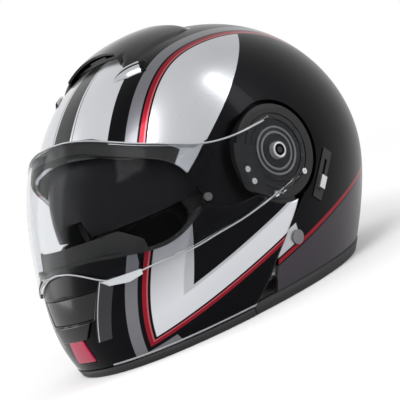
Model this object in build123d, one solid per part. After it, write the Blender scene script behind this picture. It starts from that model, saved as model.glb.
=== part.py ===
from build123d import *
from functools import lru_cache
from math import cos, radians, sin, sqrt
import os

# The helmet stands on its lower rim. Forward is -Y, up is +Z, the wearer's left is +X.
# Every outer form is drawn in half planes that turn about the side pivot axis.
reach = 180.0  # length that the outline shares are shares of
chin_half_width = 129.0
side_gap = 1.4  # the chin bar passes outside the crown by this
pivot_height = 122.0
pivot_back = 9.14  # the pivot axis lies this far behind the origin

# Walls and clearances
crown_wall = 4.0
chin_wall = 4.0
arm_wall = 2.0  # the chin bar is thinner where it runs beside the pivot
thin_radius = 91.0
visor_wall = 2.2
sun_wall = 2.0
liner_depth = 28.0
chin_liner_depth = 12.0
pad_depth = 11.0
cheek_depth = 22.0
guard_thickness = 2.0
skin_gap = 0.3  # between pieces that lie on each other
visor_gap = 1.0  # between the chin bar and the visor's inner face
slot_gap = 1.0  # room on each side of the sun visor
parting_gap = 1.2
shutter_gap = 0.6
running_gap = 0.05  # radial clearance of a pin in its hole
overrun = 30.0  # how far a cutting shape passes what it cuts

# Side recess and pivot stack
recess_depth = 12.6
recess_radius = 46.0
plate_radius = 42.0
arm_plate_thickness = 3.6
hub_radius = 22.0
groove_width = 1.2
hub_groove_outer = 17.2
hub_groove_inner = 13.6
plate_grooves = (26.8, 32.8)
lobe_thickness = 0.95
pin_radius = 6.0
pin_flange_radius = 10.0
pin_flange = 3.4
boss_radius = 5.0
cap_radius = 7.5
cap_thickness = 1.3
ear_radius = 29.0
screw_radius = 2.6
screw_head = 1.4
screw_proud = 0.5
shank_radius = 1.4
socket_width = 1.8

# Rims
crown_trim_height = 10.0
chin_trim_height = 7.0
trim_proud = 0.8
trim_inside = 3.0
liner_bottom = 36.0
curtain_thickness = 2.0
curtain_height = 3.0
neck_roll_bottom = 14.0
chin_seal_height = 3.0
seal_proud = 0.6
brow_seal_width = 9.0

# Sun visor
sun_forward = 15.0  # its hinge, from the pivot axis
sun_up = -8.0
sun_radius = 126.0
sun_half_width = 104.0
sun_pin_radius = 3.0
sun_collar_radius = 6.0
sun_ring_radius = 9.0

# Latch
striker_forward = 62.0
striker_up = -95.0
striker_radius = 3.0
striker_plate_thickness = 2.0
striker_plate_length = 34.5
striker_plate_width = 11.4
striker_boss_radius = 4.8
hook_depth = 29.7  # the hook's inner face from the chin bar's widest point
hook_thickness = 3.0
hook_pin_forward = 83.0
hook_pin_up = -87.0
hook_pin_radius = 2.5
hook_collar_radius = 4.5
hook_width = 6.0
link_thickness = 0.8

# Brow vent, chin vent and release button
brow_half_width = 104.0
brow_mouth_half = 44.0
brow_mouth_depth = 24.0
brow_skin = 2.4
brow_shutter_half = 40.0
brow_shutter_depth = 9.6
brow_shutter_thickness = 2.0
brow_tab_half = 13.0
fin_height = 4.6
vent_proud = 2.4
shutter_depth = 2.6
vent_barrel_radius = 1.8
vent_barrel_half = 6.0
button_proud = 1.4
button_room = 3.0
spoiler_half_width = 108.0
spoiler_half_length = 64.0
outlet_slots = 3
outlet_slot_height = 2.4
outlet_side = 7.2

# Chin strap
strap_width = 22.0
strap_thickness = 2.0
rivet_forward = 12.0
rivet_up = -76.0
rivet_radius = 3.0
rivet_head_radius = 6.3
rivet_head = 1.8
rivet_foot = 1.5
strap_inside = 108.0  # inner face of the strap at the rivet
buckle_length = 42.0
buckle_width = 28.0
buckle_height = 11.0
buckle_corner = 4.0
buckle_web = 0.7
buckle_end = 3.0
lever_thickness = 2.4
lever_length = 39.0
lever_width = 19.4
lever_barrel_radius = 1.6
lever_pin_radius = 0.9
lever_pin_length = 24.0
tongue_reach = 14.0
tooth_pitch = 3.0
tooth_depth = 0.6
teeth = 7

# Sun visor slider
slider_travel = 17.0
slider_length = 12.0
slider_width = 6.5
slider_height = 3.4
track_length = 48.0
track_width = 11.0
track_height = 0.9
groove_half = 3.2

section_turns = (0, 20, 38, 54, 67, 79)  # degrees of arc from the middle section outwards
flat_share = sin(radians(section_turns[-1]))  # where the last section closes each form with a flat

# angle up from straight ahead, radius as a share of the reach, power of the cross section
crown_shares = (
    (-90, 1.100, 2.40), (-70, 1.172, 2.30), (-50, 1.217, 2.15), (-30, 1.167, 2.10),
    (-10, 0.989, 2.15), (10, 0.861, 2.30), (30, 0.792, 2.40), (50, 0.772, 2.45),
    (70, 0.764, 2.50), (90, 0.758, 2.45), (110, 0.783, 2.40), (130, 0.828, 2.40),
    (150, 0.883, 2.40), (170, 0.925, 2.45), (190, 0.933, 2.50), (210, 0.917, 2.45),
    (230, 0.939, 2.40), (250, 1.011, 2.40),
)
visor_shares = (
    (-90, 1.100, 2.40), (-70, 1.172, 2.30), (-50, 1.217, 2.15), (-30, 1.167, 2.10),
    (-10, 0.989, 2.15), (10, 0.884, 2.20), (30, 0.834, 2.20), (50, 0.818, 2.20),
    (70, 0.808, 2.20), (90, 0.803, 2.20), (110, 0.806, 2.20), (130, 0.836, 2.30),
    (150, 0.883, 2.40), (170, 0.925, 2.45), (190, 0.933, 2.50), (210, 0.917, 2.45),
    (230, 0.939, 2.40), (250, 1.011, 2.40),
)
brow_shares = (
    (-90, 0.700, 2.40), (-70, 0.700, 2.40), (-50, 0.700, 2.40), (-30, 0.700, 2.40),
    (-10, 0.700, 2.40), (10, 0.700, 2.40), (30, 0.740, 2.40), (50, 0.796, 2.45),
    (70, 0.815, 2.50), (90, 0.811, 2.45), (110, 0.812, 2.40), (130, 0.800, 2.40),
    (150, 0.740, 2.40), (170, 0.700, 2.45), (190, 0.700, 2.50), (210, 0.700, 2.45),
    (230, 0.700, 2.40), (250, 0.700, 2.40),
)
spoiler_shares = (
    (-90, 0.700, 2.40), (-70, 0.700, 2.40), (-50, 0.700, 2.40), (-30, 0.700, 2.40),
    (-10, 0.700, 2.40), (10, 0.700, 2.40), (30, 0.700, 2.40), (50, 0.700, 2.40),
    (70, 0.700, 2.40), (90, 0.740, 2.40), (110, 0.780, 2.40), (130, 0.842, 2.40),
    (150, 0.918, 2.40), (170, 0.960, 2.45), (190, 0.930, 2.50), (210, 0.860, 2.45),
    (230, 0.760, 2.40), (250, 0.700, 2.40),
)
sun_shares = tuple((angle, sun_radius / reach, 2.40) for angle in range(-90, 270, 18))

# Side outlines: (forward, up) from the pivot axis, as shares of the reach
front_line_shares = (
    (0.728, 0.344), (0.650, 0.256), (0.567, 0.200), (0.511, 0.144), (0.478, 0.067),
    (0.461, -0.033), (0.422, -0.189), (0.322, -0.344), (0.200, -0.456),
)
parting_shares = ((0.200, -0.456), (0.278, -0.539), (0.350, -0.606), (0.394, -0.640), (0.406, -0.720))
recess_shares = (
    (0.620, 0.160), (0.372, 0.183), (0.289, 0.189), (0.194, 0.222), (0.089, 0.236), (-0.050, 0.220),
    (-0.217, -0.128), (-0.128, -0.206), (-0.028, -0.272), (0.078, -0.344), (0.144, -0.406),
    (0.200, -0.456), (0.350, -0.606), (0.620, -0.500),
)
chin_top_shares = (
    (0.925, -0.115), (0.817, -0.150), (0.680, -0.167), (0.575, -0.132), (0.500, -0.085),
    (0.400, -0.125), (0.289, -0.150), (0.200, -0.150),
)
chin_heel_shares = ((-0.020, -0.250), (0.006, -0.280), (0.078, -0.344), (0.144, -0.406), (0.200, -0.456))
visor_top_shares = (
    (0.000, 0.161), (0.120, 0.155), (0.233, 0.156), (0.378, 0.183), (0.494, 0.239), (0.611, 0.311),
    (0.672, 0.367), (0.711, 0.425),
)
visor_bottom_shares = (
    (0.989, -0.150), (0.955, -0.211), (0.917, -0.250), (0.844, -0.255), (0.750, -0.248),
    (0.622, -0.250), (0.494, -0.235), (0.361, -0.222), (0.217, -0.200), (0.000, -0.161),
)
tongue_shares = (
    (0.000, -0.100), (0.130, -0.100), (0.198, -0.203), (0.168, -0.233), (0.060, -0.285), (-0.004, -0.268),
)
lobe_shares = ((0.100, 0.060), (0.240, 0.130), (0.278, 0.050), (0.288, -0.070), (0.240, -0.118), (0.150, -0.180))
outside_share = 1.5
top_share = 1.0


def place(forward, up, aside=0.0):
    """A point given forward of the pivot axis, above it and to the wearer's left."""
    return Vector(aside, pivot_back - forward, pivot_height + up)


@lru_cache(maxsize=None)
def form(shares, half_width, grow=0.0, centre_forward=0.0, centre_up=0.0):
    """A closed rounded form: cross sections at steps across the helmet, lofted."""
    turns = [-turn for turn in reversed(section_turns[1:])] + list(section_turns)
    wires = []
    for turn in turns:
        across = abs(sin(radians(turn)))
        aside = (half_width + grow) * sin(radians(turn))
        points = []
        for angle, radius_share, power in shares:
            radius = (radius_share * reach + grow) * (1 - across ** power) ** (1 / power)
            ahead = centre_forward + radius * cos(radians(angle))
            points.append(place(ahead, centre_up + radius * sin(radians(angle)), aside))
        wires.append(Wire([Edge.make_spline(points, periodic=True)]))
    return Solid.make_loft(wires)


def crown_form(grow=0.0):
    return form(crown_shares, chin_half_width - side_gap, grow)


def chin_form(grow=0.0):
    return form(crown_shares, chin_half_width, grow)


def visor_form(grow=0.0):
    return form(visor_shares, chin_half_width, visor_gap + grow)


def brow_form(grow=0.0):
    return form(brow_shares, brow_half_width, grow)


def spoiler_form(grow=0.0):
    return form(spoiler_shares, spoiler_half_width, grow)


def sun_form(grow=0.0):
    return form(sun_shares, sun_half_width, grow, sun_forward, sun_up)


def scaled(shares, ahead=0.0, up=0.0):
    """Share points turned into lengths, moved by a clearance."""
    return [(f * reach + ahead, u * reach + up) for f, u in shares]


def side_face(*runs):
    """A face in the middle plane. A run of two points is a line, a longer one a smooth curve."""
    edges = []
    for run in runs:
        points = [place(f, u) for f, u in run]
        if len(points) == 2:
            edges.append(Edge.make_line(*points))
        else:
            edges.append(Edge.make_spline(points))
    first, last = runs[0][0], runs[-1][-1]
    edges.append(Edge.make_line(place(*last), place(*first)))
    return Face(Wire(edges))


def corner_face(points):
    """A face in the middle plane with straight sides."""
    return side_face(*[(points[i], points[i + 1]) for i in range(len(points) - 1)])


def prism(face, low, high):
    """The solid that a middle-plane face sweeps from one side distance to another."""
    return Pos(low, 0, 0) * extrude(face, high - low, dir=(1, 0, 0))


def half(face):
    """The left half of a region that runs right across the helmet."""
    return prism(face, 0, outer_edge)


def half_region(shares):
    return half(corner_face(scaled(shares)))


def disc(radius, low, high, forward=0.0, up=0.0):
    """A round bar along X."""
    centre = place(forward, up, (low + high) / 2)
    return Pos(centre) * Rot(0, 90, 0) * Cylinder(radius, high - low)


def half_slab(low_height, high_height):
    """The left half of everything between two heights."""
    size = 3 * reach
    middle = (low_height + high_height) / 2
    return Pos(size / 2, 0, middle) * Box(size, 2 * size, high_height - low_height)


def block(low_corner, high_corner):
    """A box between two (x, y, z) corners."""
    low, high = Vector(*low_corner), Vector(*high_corner)
    size = high - low
    return Pos((low + high) / 2) * Box(size.X, size.Y, size.Z)


def skin(outer, inner, region):
    """The wall between two forms, inside a region."""
    return (outer & region) - inner


def less(body, parts):
    for part in parts:
        body = body - part
    return body


def mirrored(piece):
    return mirror(piece, about=Plane.YZ)


def both(piece):
    return piece + mirrored(piece)


def group(pieces):
    return Compound(children=list(pieces))


def plan_prism(points, low_height, high_height):
    """A prism along Z from (aside, forward) corner points."""
    corners = [(aside, pivot_back - forward, low_height) for aside, forward in points]
    face = Face(Wire.make_polygon(corners, close=True))
    return extrude(face, high_height - low_height, dir=(0, 0, 1))


def front_prism(points, near, far):
    """A prism along Y from (aside, up) corner points, between two forward distances."""
    corners = [(aside, pivot_back - near, pivot_height + up) for aside, up in points]
    face = Face(Wire.make_polygon(corners, close=True))
    return extrude(face, far - near, dir=(0, -1, 0))


# Places along the pivot stack, from the middle plane outwards
floor_outside = chin_half_width - side_gap - recess_depth
floor_inside = floor_outside - crown_wall
arm_inside = floor_outside + skin_gap
arm_outside = arm_inside + arm_plate_thickness
visor_inside = (chin_half_width + visor_gap) * flat_share
visor_outside = (chin_half_width + visor_gap + visor_wall) * flat_share
base_outside = (chin_half_width - visor_gap) * flat_share - running_gap
hub_outside = visor_inside - skin_gap
outer_edge = chin_half_width + overrun
pad_top = crown_wall + skin_gap + liner_depth + skin_gap  # how deep the pads' outer faces lie
hook_inside = chin_half_width - hook_depth
striker_plate_inside = hook_inside + hook_thickness + 2 * visor_gap


def front_half(back=0.0):
    """What lies ahead of the crown: eye opening and chin bar, bounded by the parting line."""
    far = outside_share * reach
    line = scaled(front_line_shares, -back)
    parting = scaled(parting_shares, -back)
    start = (far, top_share * reach)
    return half(side_face((start, line[0]), line, parting, (parting[-1], (far, parting[-1][1]))))


def recess_parts(low, high, grow=0.0):
    """The sunk left side area that the chin bar's arm turns in: an outline and a round end."""
    outline = corner_face(scaled(recess_shares))
    if grow:
        outline = offset(outline, grow, kind=Kind.INTERSECTION)
    return [prism(outline, low, high), disc(recess_radius + grow, low, high)]


def crown_shell():
    body = (crown_form() & half_slab(crown_trim_height, 3 * reach)) - front_half()
    cavity = less(crown_form(-crown_wall), recess_parts(floor_inside, outer_edge, crown_wall))
    body = less(body - cavity, recess_parts(floor_outside, outer_edge))
    body = body - disc(pin_radius + skin_gap, 0, outer_edge)
    body = body - disc(rivet_radius + skin_gap, 0, outer_edge, rivet_forward, rivet_up)
    return both(body)


sun_low_angle = -16
sun_high_angle = 80


def sun_slot():
    """Room for the sun visor between the crown and the liner, from lowered to raised."""
    far = outside_share * reach
    low, high = radians(sun_low_angle), radians(sun_high_angle)
    back = sun_forward - sun_ring_radius - 2 * slot_gap
    points = [
        (back, sun_up - sun_ring_radius - 2 * slot_gap),
        (sun_forward + far * cos(low), sun_up + far * sin(low)),
        (sun_forward + far, sun_up + far),
        (sun_forward + far * cos(high), sun_up + far * sin(high)),
        (back, sun_up + sun_ring_radius),
    ]
    return half(corner_face(points)) - sun_form(-sun_wall - slot_gap)


def strap_channel(low, top_up):
    """Slot that the strap and its rivet lie in, from a side distance outwards."""
    wide = strap_width / 2 + skin_gap
    back, front = rivet_forward - wide, rivet_forward + wide
    points = [(back, -reach), (front, -reach), (front, top_up), (back, top_up)]
    return prism(corner_face(points), low, outer_edge)


def crown_liner():
    gap = crown_wall + skin_gap
    body = (crown_form(-gap) & half_slab(liner_bottom, 3 * reach)) - front_half(visor_gap + skin_gap)
    body = body - crown_form(-gap - liner_depth)
    sunk = floor_inside - pin_flange - slot_gap
    body = less(body, recess_parts(sunk, outer_edge, crown_wall + skin_gap))
    channel = strap_channel(strap_inside - strap_width, rivet_up + 2 * rivet_head_radius)
    return both(body - sun_slot() - channel)


def crown_trim():
    ring = skin(crown_form(trim_proud), crown_form(-crown_wall - trim_inside), half_slab(0.0, crown_trim_height))
    return both(ring - front_half())


def brow_seal():
    """Rubber gasket round the eye opening, from the crown's edge out to the visor."""
    inner = scaled(front_line_shares[:4])
    outer = [(f - brow_seal_width, u + brow_seal_width) for f, u in reversed(inner)]
    start = (outside_share * reach, top_share * reach)
    end = (start[0] - brow_seal_width, start[1] + brow_seal_width)
    face = side_face((start, inner[0]), inner, (inner[-1], outer[0]), outer, (outer[-1], end))
    return both(skin(visor_form(-skin_gap), crown_form(skin_gap), half(face)))


brow_outline_shares = (
    (0.000, 0.278), (0.180, 0.294), (0.290, 0.350), (0.355, 0.300), (0.361, 0.128),
    (0.322, -0.100), (0.270, -0.122), (0.150, -0.070), (0.000, -0.050),
)
fin_outline_shares = (
    (0.283, 0.425), (0.350, 0.392), (0.420, 0.325), (0.395, 0.275), (0.362, 0.300), (0.300, 0.362),
)
brow_floor_share = 0.25


def above_floor(points):
    """A plan outline carried up through the crown."""
    return plan_prism(points, pivot_height + brow_floor_share * reach, pivot_height + top_share * reach)


def plan_strip(half_length, front, back):
    """Left half of a plan rectangle between two forward distances."""
    return [(0, front), (half_length, front), (half_length, back), (0, back)]


def brow_vent_cover():
    cover = skin(brow_form(), crown_form(skin_gap), above_floor(scaled(brow_outline_shares)))
    lip = brow_outline_shares[1][1] * reach
    mouth = plan_strip(brow_mouth_half, lip + overrun, lip - brow_mouth_depth)
    return both(cover - (brow_form(-brow_skin) & above_floor(mouth)))


def brow_vent_shutter():
    """Shutter in the vent's mouth, with a raised tab to push."""
    front = brow_outline_shares[0][1] * reach - brow_skin
    base = 2 * skin_gap
    outline = above_floor(plan_strip(brow_shutter_half, front, front - brow_shutter_depth))
    plate = skin(crown_form(base + brow_shutter_thickness), crown_form(base), outline)
    tab_outline = above_floor(plan_strip(brow_tab_half, front, front - brow_skin))
    tab = skin(crown_form(base + 2 * brow_shutter_thickness), crown_form(base), tab_outline)
    return both(plate + tab)


def brow_fin():
    return skin(crown_form(fin_height), crown_form(skin_gap), above_floor(scaled(fin_outline_shares)))


spoiler_front_share = -0.53
spoiler_edge_share = -0.72
spoiler_drop_share = 0.33
spoiler_slot_share = 0.50


def rear_spoiler():
    """Raised exhaust cover at the back of the crown, open behind and below."""
    front = spoiler_front_share * reach
    back = spoiler_edge_share * reach
    drop = spoiler_drop_share * reach
    far = outside_share * reach
    face = corner_face([(front, far), (front, 2 * drop), (back, drop), (-far, drop), (-far, far)])
    raised = skin(spoiler_form(), crown_form(skin_gap), prism(face, 0, spoiler_half_length))
    slot_top = spoiler_slot_share * reach
    below = drop - overrun
    mouth = corner_face([(back, below), (back, slot_top), (-far, slot_top), (-far, below)])
    hollow = spoiler_form(-brow_skin) & prism(mouth, 0, spoiler_half_length - 2 * crown_wall)
    return both(raised - hollow)


outlet_low_share = -0.300
outlet_high_share = -0.200
outlet_half_share = 0.200


def neck_outlet():
    """Exhaust louvre low on the back of the crown."""
    wide = outlet_half_share * reach
    high = outlet_high_share * reach
    low = outlet_low_share * reach
    behind = outside_share * reach
    outline = [(0, high), (wide, high), (wide - outlet_side, low), (0, low)]
    plate = skin(crown_form(vent_proud), crown_form(skin_gap), front_prism(outline, -behind, 0))
    pitch = (high - low) / (outlet_slots + 1)
    side = wide - 2 * outlet_side
    for row in range(outlet_slots):
        bottom = low + pitch * (row + 1) - outlet_slot_height / 2
        top = bottom + outlet_slot_height
        plate = plate - front_prism([(0, bottom), (side, bottom), (side, top), (0, top)], -behind, 0)
    return both(plate)


def pivot_pin():
    shaft = disc(pin_radius, floor_inside - pin_flange, base_outside - visor_gap)
    flange = disc(pin_flange_radius, floor_inside - pin_flange, floor_inside)
    return shaft + flange


def striker():
    """Plate inside the crown's lower front corner, with the pin that the hook takes."""
    wide = striker_plate_width / 2
    tip = striker_forward + striker_radius + parting_gap
    root = tip - striker_plate_length
    low, high = striker_plate_inside, striker_plate_inside + striker_plate_thickness
    bottom, top = striker_up - wide, striker_up + wide
    plate = prism(corner_face([(root, bottom), (tip, bottom), (tip, top), (root, top)]), low, high)
    pin = disc(striker_radius, hook_inside - skin_gap, low, striker_forward, striker_up)
    boss = disc(striker_boss_radius, high, outer_edge, root + wide, striker_up) & crown_form(-crown_wall)
    boss = less(boss, recess_parts(floor_inside - skin_gap, outer_edge, crown_wall + skin_gap))
    return plate + pin + boss


def strap_rivet():
    """Rivet through the crown and the strap, with a spacer between them."""
    head = disc(rivet_head_radius, floor_outside, outer_edge, rivet_forward, rivet_up)
    head = skin(crown_form(rivet_head), crown_form(), head)
    low = strap_inside - rivet_foot
    shaft = disc(rivet_radius, low, outer_edge, rivet_forward, rivet_up) & crown_form(rivet_head / 2)
    foot = disc(rivet_head_radius, low, strap_inside, rivet_forward, rivet_up)
    spacer = disc(rivet_head_radius, strap_inside + strap_thickness, outer_edge, rivet_forward, rivet_up)
    return head + shaft + foot + (spacer & crown_form(-crown_wall))


# (aside, up) of the strap's middle line, from the rivet to the middle of the helmet
strap_route_shares = (
    (-0.380, 0.000), (-0.465, 0.000), (-0.515, -0.024), (-0.538, -0.085), (-0.546, -0.185), (-0.549, -0.310),
    (-0.550, -0.436),
)
strap_end_share = -0.535


def strap_points():
    middle = strap_inside + strap_thickness / 2
    return [(middle + a * reach, u * reach) for u, a in strap_route_shares]


def strap_ribbon(end_length=0.0):
    """Flat webbing: straight down from the rivet, curved, then level for an end length."""
    points = strap_points()
    upper, lower = [], []
    edge = rivet_forward + strap_width / 2
    last = len(points) - 1
    for index, (aside, up) in enumerate(points):
        a0, u0 = points[max(index - 1, 0)]
        a1, u1 = points[min(index + 1, last)]
        if index <= 1:
            a1, a0 = aside, aside
        if index == last:
            u0, u1 = up, up
        length = sqrt((a1 - a0) ** 2 + (u1 - u0) ** 2)
        shift_a = (u0 - u1) / length * strap_thickness / 2
        shift_u = (a1 - a0) / length * strap_thickness / 2
        upper.append(place(edge, up + shift_u, aside + shift_a))
        lower.append(place(edge, up - shift_u, aside - shift_a))
    level = Vector(-end_length, 0, 0)
    ends = [upper[-1] + level, lower[-1] + level]
    edges = [Edge.make_line(lower[0], upper[0]), Edge.make_line(*ends)]
    ways = [Vector(0, 0, -1), Vector(-1, 0, 0)]
    for side, end in zip((upper, lower), ends):
        edges += [Edge.make_line(side[0], side[1]), Edge.make_spline(side[1:], tangents=ways)]
        if end_length:
            edges.append(Edge.make_line(side[-1], end))
    face = Face(Wire(edges))
    webbing = extrude(face, strap_width, dir=(0, 1, 0))
    return webbing - disc(rivet_radius + running_gap, 0, outer_edge, rivet_forward, rivet_up)


def chin_strap_left():
    return strap_ribbon()


def chin_strap_right():
    """The right strap runs on into the buckle's housing."""
    return mirrored(strap_ribbon((strap_route_shares[-1][1] - strap_end_share) * reach))


def buckle_parts():
    """Ratchet buckle in the middle of the strap: housing, toothed tongue, lever and lever pin."""
    inner, centre_up = strap_points()[-1]
    middle = place(rivet_forward, centre_up)
    x, y, z = middle.X, middle.Y, middle.Z
    base = Pos(middle) * Box(buckle_length, buckle_width, buckle_height)
    base = fillet(base.edges().filter_by(Axis.Z), buckle_corner)
    slot_half = strap_thickness / 2 + skin_gap
    slot_width = strap_width / 2 + skin_gap
    slot = block((x - reach, y - slot_width, z - slot_half), (x + reach, y + slot_width, z + slot_half))
    pocket_top = z - slot_half - buckle_web
    pocket_left = x - buckle_length / 2 + buckle_end
    pocket_width = lever_width / 2 + skin_gap
    pocket = block((pocket_left, y - pocket_width, z - buckle_height), (x + reach, y + pocket_width, pocket_top))
    lever_top = pocket_top - skin_gap / 2
    axis = Pos(pocket_left + skin_gap + lever_barrel_radius, y, lever_top - lever_barrel_radius) * Rot(90, 0, 0)
    pin = axis * Cylinder(lever_pin_radius, lever_pin_length)
    hole = axis * Cylinder(lever_pin_radius + running_gap, lever_pin_length)
    barrel = axis * Cylinder(lever_barrel_radius, lever_width)
    lever_left = pocket_left + skin_gap + lever_barrel_radius
    lever = block((lever_left, y - lever_width / 2, lever_top - lever_thickness),
                  (lever_left + lever_length, y + lever_width / 2, lever_top))
    lever = lever + barrel - hole
    tongue_end = x + buckle_length / 2 - tongue_reach
    tongue = block((tongue_end, y - strap_width / 2, z - strap_thickness / 2),
                   (inner, y + strap_width / 2, z + strap_thickness / 2))
    tooth_half = strap_width / 4
    for tooth in range(teeth):
        start = tongue_end + tooth_pitch * (tooth + 1)
        tongue = tongue - block((start, y - tooth_half, z - strap_thickness),
                                (start + tooth_pitch / 2, y + tooth_half, z - strap_thickness / 2 + tooth_depth))
    return base - slot - pocket - hole, tongue, lever, pin


slider_place_shares = (-0.195, -0.238)
slider_angle = 135.0  # the slider's way up and back, from straight ahead


def slider_parts():
    """Track plate on the crown's left side, and the finger slide that lowers the sun visor."""
    forward, up = [s * reach for s in slider_place_shares]
    along_f, along_u = cos(radians(slider_angle)), sin(radians(slider_angle))

    def bar(length, width, shift):
        corners = [(-length, -width), (length, -width), (length, width), (-length, width)]
        points = []
        for a, b in corners:
            a, b = a / 2 + shift, b / 2
            points.append((forward + along_f * a - along_u * b, up + along_u * a + along_f * b))
        return prism(corner_face(points), floor_outside, outer_edge)

    middle = slider_travel / 2
    plate = skin(crown_form(track_height), crown_form(skin_gap), bar(track_length, track_width, middle))
    plate = plate - bar(slider_travel + slider_length, groove_half, middle)
    base = track_height + skin_gap
    return plate, skin(crown_form(base + slider_height), crown_form(base), bar(slider_length, slider_width, 0))


crown_pad_shares = (
    (0.40, 0.20), (0.62, 0.42), (0.62, 1.00), (-0.90, 1.00), (-0.90, -0.02), (-0.30, -0.02), (0.00, 0.12),
)
cheek_pad_shares = (
    (0.40, -0.10), (0.44, -0.30), (0.42, -0.585), (-0.10, -0.585), (-0.20, -0.40), (-0.16, -0.16), (0.00, -0.06),
)
cheek_slot_share = -0.46
neck_roll_front_share = -0.10
sun_outline_shares = (
    (0.40, 0.36), (1.20, 0.72), (1.20, -0.04), (0.60, -0.04), (0.45, -0.03), (0.083, -0.095), (0.083, 0.00),
    (0.30, 0.10),
)
nose_shares = ((0.00, -0.10), (0.14, -0.10), (0.07, 0.045), (0.00, 0.045))


def crown_pad():
    return both(skin(crown_form(-pad_top), crown_form(-pad_top - pad_depth), half_region(crown_pad_shares)))


def cheek_pad():
    """Pad beside the cheek, with a slot that the strap comes through."""
    pad = skin(crown_form(-pad_top), crown_form(-pad_top - cheek_depth), half_region(cheek_pad_shares))
    return pad - strap_channel(0, cheek_slot_share * reach)


def neck_roll():
    top = crown_wall + trim_inside + skin_gap
    front = neck_roll_front_share * reach
    low, high = neck_roll_bottom - pivot_height, liner_bottom - skin_gap - pivot_height
    behind = -outside_share * reach
    region = half(corner_face([(front, low), (front, high), (behind, high), (behind, low)]))
    return both(skin(crown_form(-top), crown_form(-liner_depth), region))


def sun_visor():
    lens = skin(sun_form(), sun_form(-sun_wall), half_region(sun_outline_shares))
    ring = skin(sun_form(), sun_form(-sun_wall), disc(sun_ring_radius, 0, outer_edge, sun_forward, sun_up))
    nose = front_prism(scaled(nose_shares), 0, reach)
    hole = disc(sun_pin_radius + running_gap, 0, outer_edge, sun_forward, sun_up)
    return both(lens + ring - nose - hole)


def sun_visor_pins():
    ring_outside = sun_half_width * flat_share
    pin_end = (sun_half_width - sun_wall) * flat_share - skin_gap
    pin = disc(sun_pin_radius, pin_end, floor_inside, sun_forward, sun_up)
    collar = disc(sun_collar_radius, ring_outside + skin_gap, floor_inside, sun_forward, sun_up)
    piece = pin + collar
    return group([piece, mirrored(piece)])


def chin_half():
    """Side outline of the chin bar, ahead of the parting line."""
    far = outside_share * reach
    top = scaled(chin_top_shares)
    heel = scaled(chin_heel_shares, parting_gap)
    parting = scaled(parting_shares, parting_gap)
    bottom = parting[-1][1]
    return half(side_face(((far, top[0][1]), top[0]), top, (top[-1], heel[0]), heel, parting,
                          (parting[-1], (far, bottom))))


vent_outline_shares = ((0.0, -0.268), (0.240, -0.268), (0.178, -0.386), (0.0, -0.386))
vent_hinge_shares = (1.006, -0.3745)
scoop_outline_shares = ((0.0, -0.395), (0.165, -0.395), (0.105, -0.470), (0.0, -0.470))
button_outline_shares = ((0.0, -0.470), (0.062, -0.470), (0.078, -0.588), (0.0, -0.588))
front_near_share = 0.5


def front_cut(shares, grow=0.0):
    """The left half of a front outline, moved outward by a clearance, through the chin bar."""
    (a0, high), (a1, u1), (a2, u2), (a3, low) = scaled(shares)
    points = [(a0, high + grow), (a1 + grow, u1 + grow), (a2 + grow, u2 - grow), (a3, low - grow)]
    return front_prism(points, front_near_share * reach, outside_share * reach)


def chin_seal_band():
    """The strip along the chin bar's upper edge that the seal takes."""
    far = outside_share * reach
    top = scaled(chin_top_shares[:5])
    high = [(f, u + chin_seal_height) for f, u in top]
    low = [(f, u - chin_seal_height) for f, u in reversed(top)]
    face = side_face(((far, high[0][1]), high[0]), high, (high[-1], low[0]), low, (low[-1], (far, low[-1][1])))
    return half(face)


def chin_bar_shell():
    body = (chin_form() & chin_half()) & half_slab(chin_trim_height, reach)
    body = body - chin_form(-chin_wall)
    body = body - (disc(thin_radius, 0, outer_edge) & chin_form(-arm_wall))
    body = body - disc(recess_radius, 0, outer_edge)
    body = body - chin_seal_band()
    body = body - front_cut(vent_outline_shares, shutter_gap)
    return both(body - front_cut(button_outline_shares, shutter_gap))


def chin_seal():
    """Rubber edge along the top of the chin bar, which the visor closes on."""
    region = chin_seal_band() & chin_half()
    return both(skin(chin_form(seal_proud), chin_form(-chin_wall), region))


def chin_trim():
    ring = skin(chin_form(trim_proud), chin_form(-chin_wall - trim_inside), half_slab(0.0, chin_trim_height))
    return both(ring & chin_half())


chin_liner_shares = (
    (0.56, -0.33), (0.66, -0.325), (0.74, -0.27), (0.88, -0.27), (1.40, -0.25), (1.40, -0.63), (0.56, -0.63),
)
link_shares = ((0.46, -0.490), (0.75, -0.505), (1.30, -0.505), (1.30, -0.550), (0.75, -0.550), (0.46, -0.520))
guard_shares = ((0.80, -0.045), (0.92, -0.045), (1.20, -0.040), (1.20, -0.250), (0.74, -0.250), (0.74, -0.120))
curtain_shares = ((0.62, -0.72), (0.62, -0.55), (1.40, -0.55), (1.40, -0.72))


def chin_bar_liner():
    outer = chin_wall + skin_gap + link_thickness + skin_gap
    liner = skin(chin_form(-outer), chin_form(-outer - chin_liner_depth), half_region(chin_liner_shares))
    return both(liner - front_cut(button_outline_shares, button_room))


def release_link():
    """Flat spring-steel strip from the release button round to the hook."""
    outer = chin_wall + skin_gap
    region = half_region(link_shares) - front_cut(button_outline_shares, skin_gap)
    region = region - disc(hook_collar_radius + shutter_gap, 0, outer_edge, hook_pin_forward, hook_pin_up)
    return skin(chin_form(-outer), chin_form(-outer - link_thickness), region)


def release_button():
    return both(skin(chin_form(button_proud), chin_form(-chin_wall - skin_gap), front_cut(button_outline_shares)))


def chin_vent_shutter():
    """Shutter of the chin vent, with a round barrel inside its lower edge that it tips about."""
    flap = skin(chin_form(-skin_gap), chin_form(-skin_gap - shutter_depth), front_cut(vent_outline_shares))
    forward, up = [s * reach for s in vent_hinge_shares]
    return both(flap + disc(vent_barrel_radius, 0, vent_barrel_half, forward, up))


def chin_scoop():
    return both(skin(chin_form(vent_proud), chin_form(skin_gap), front_cut(scoop_outline_shares)))


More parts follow.
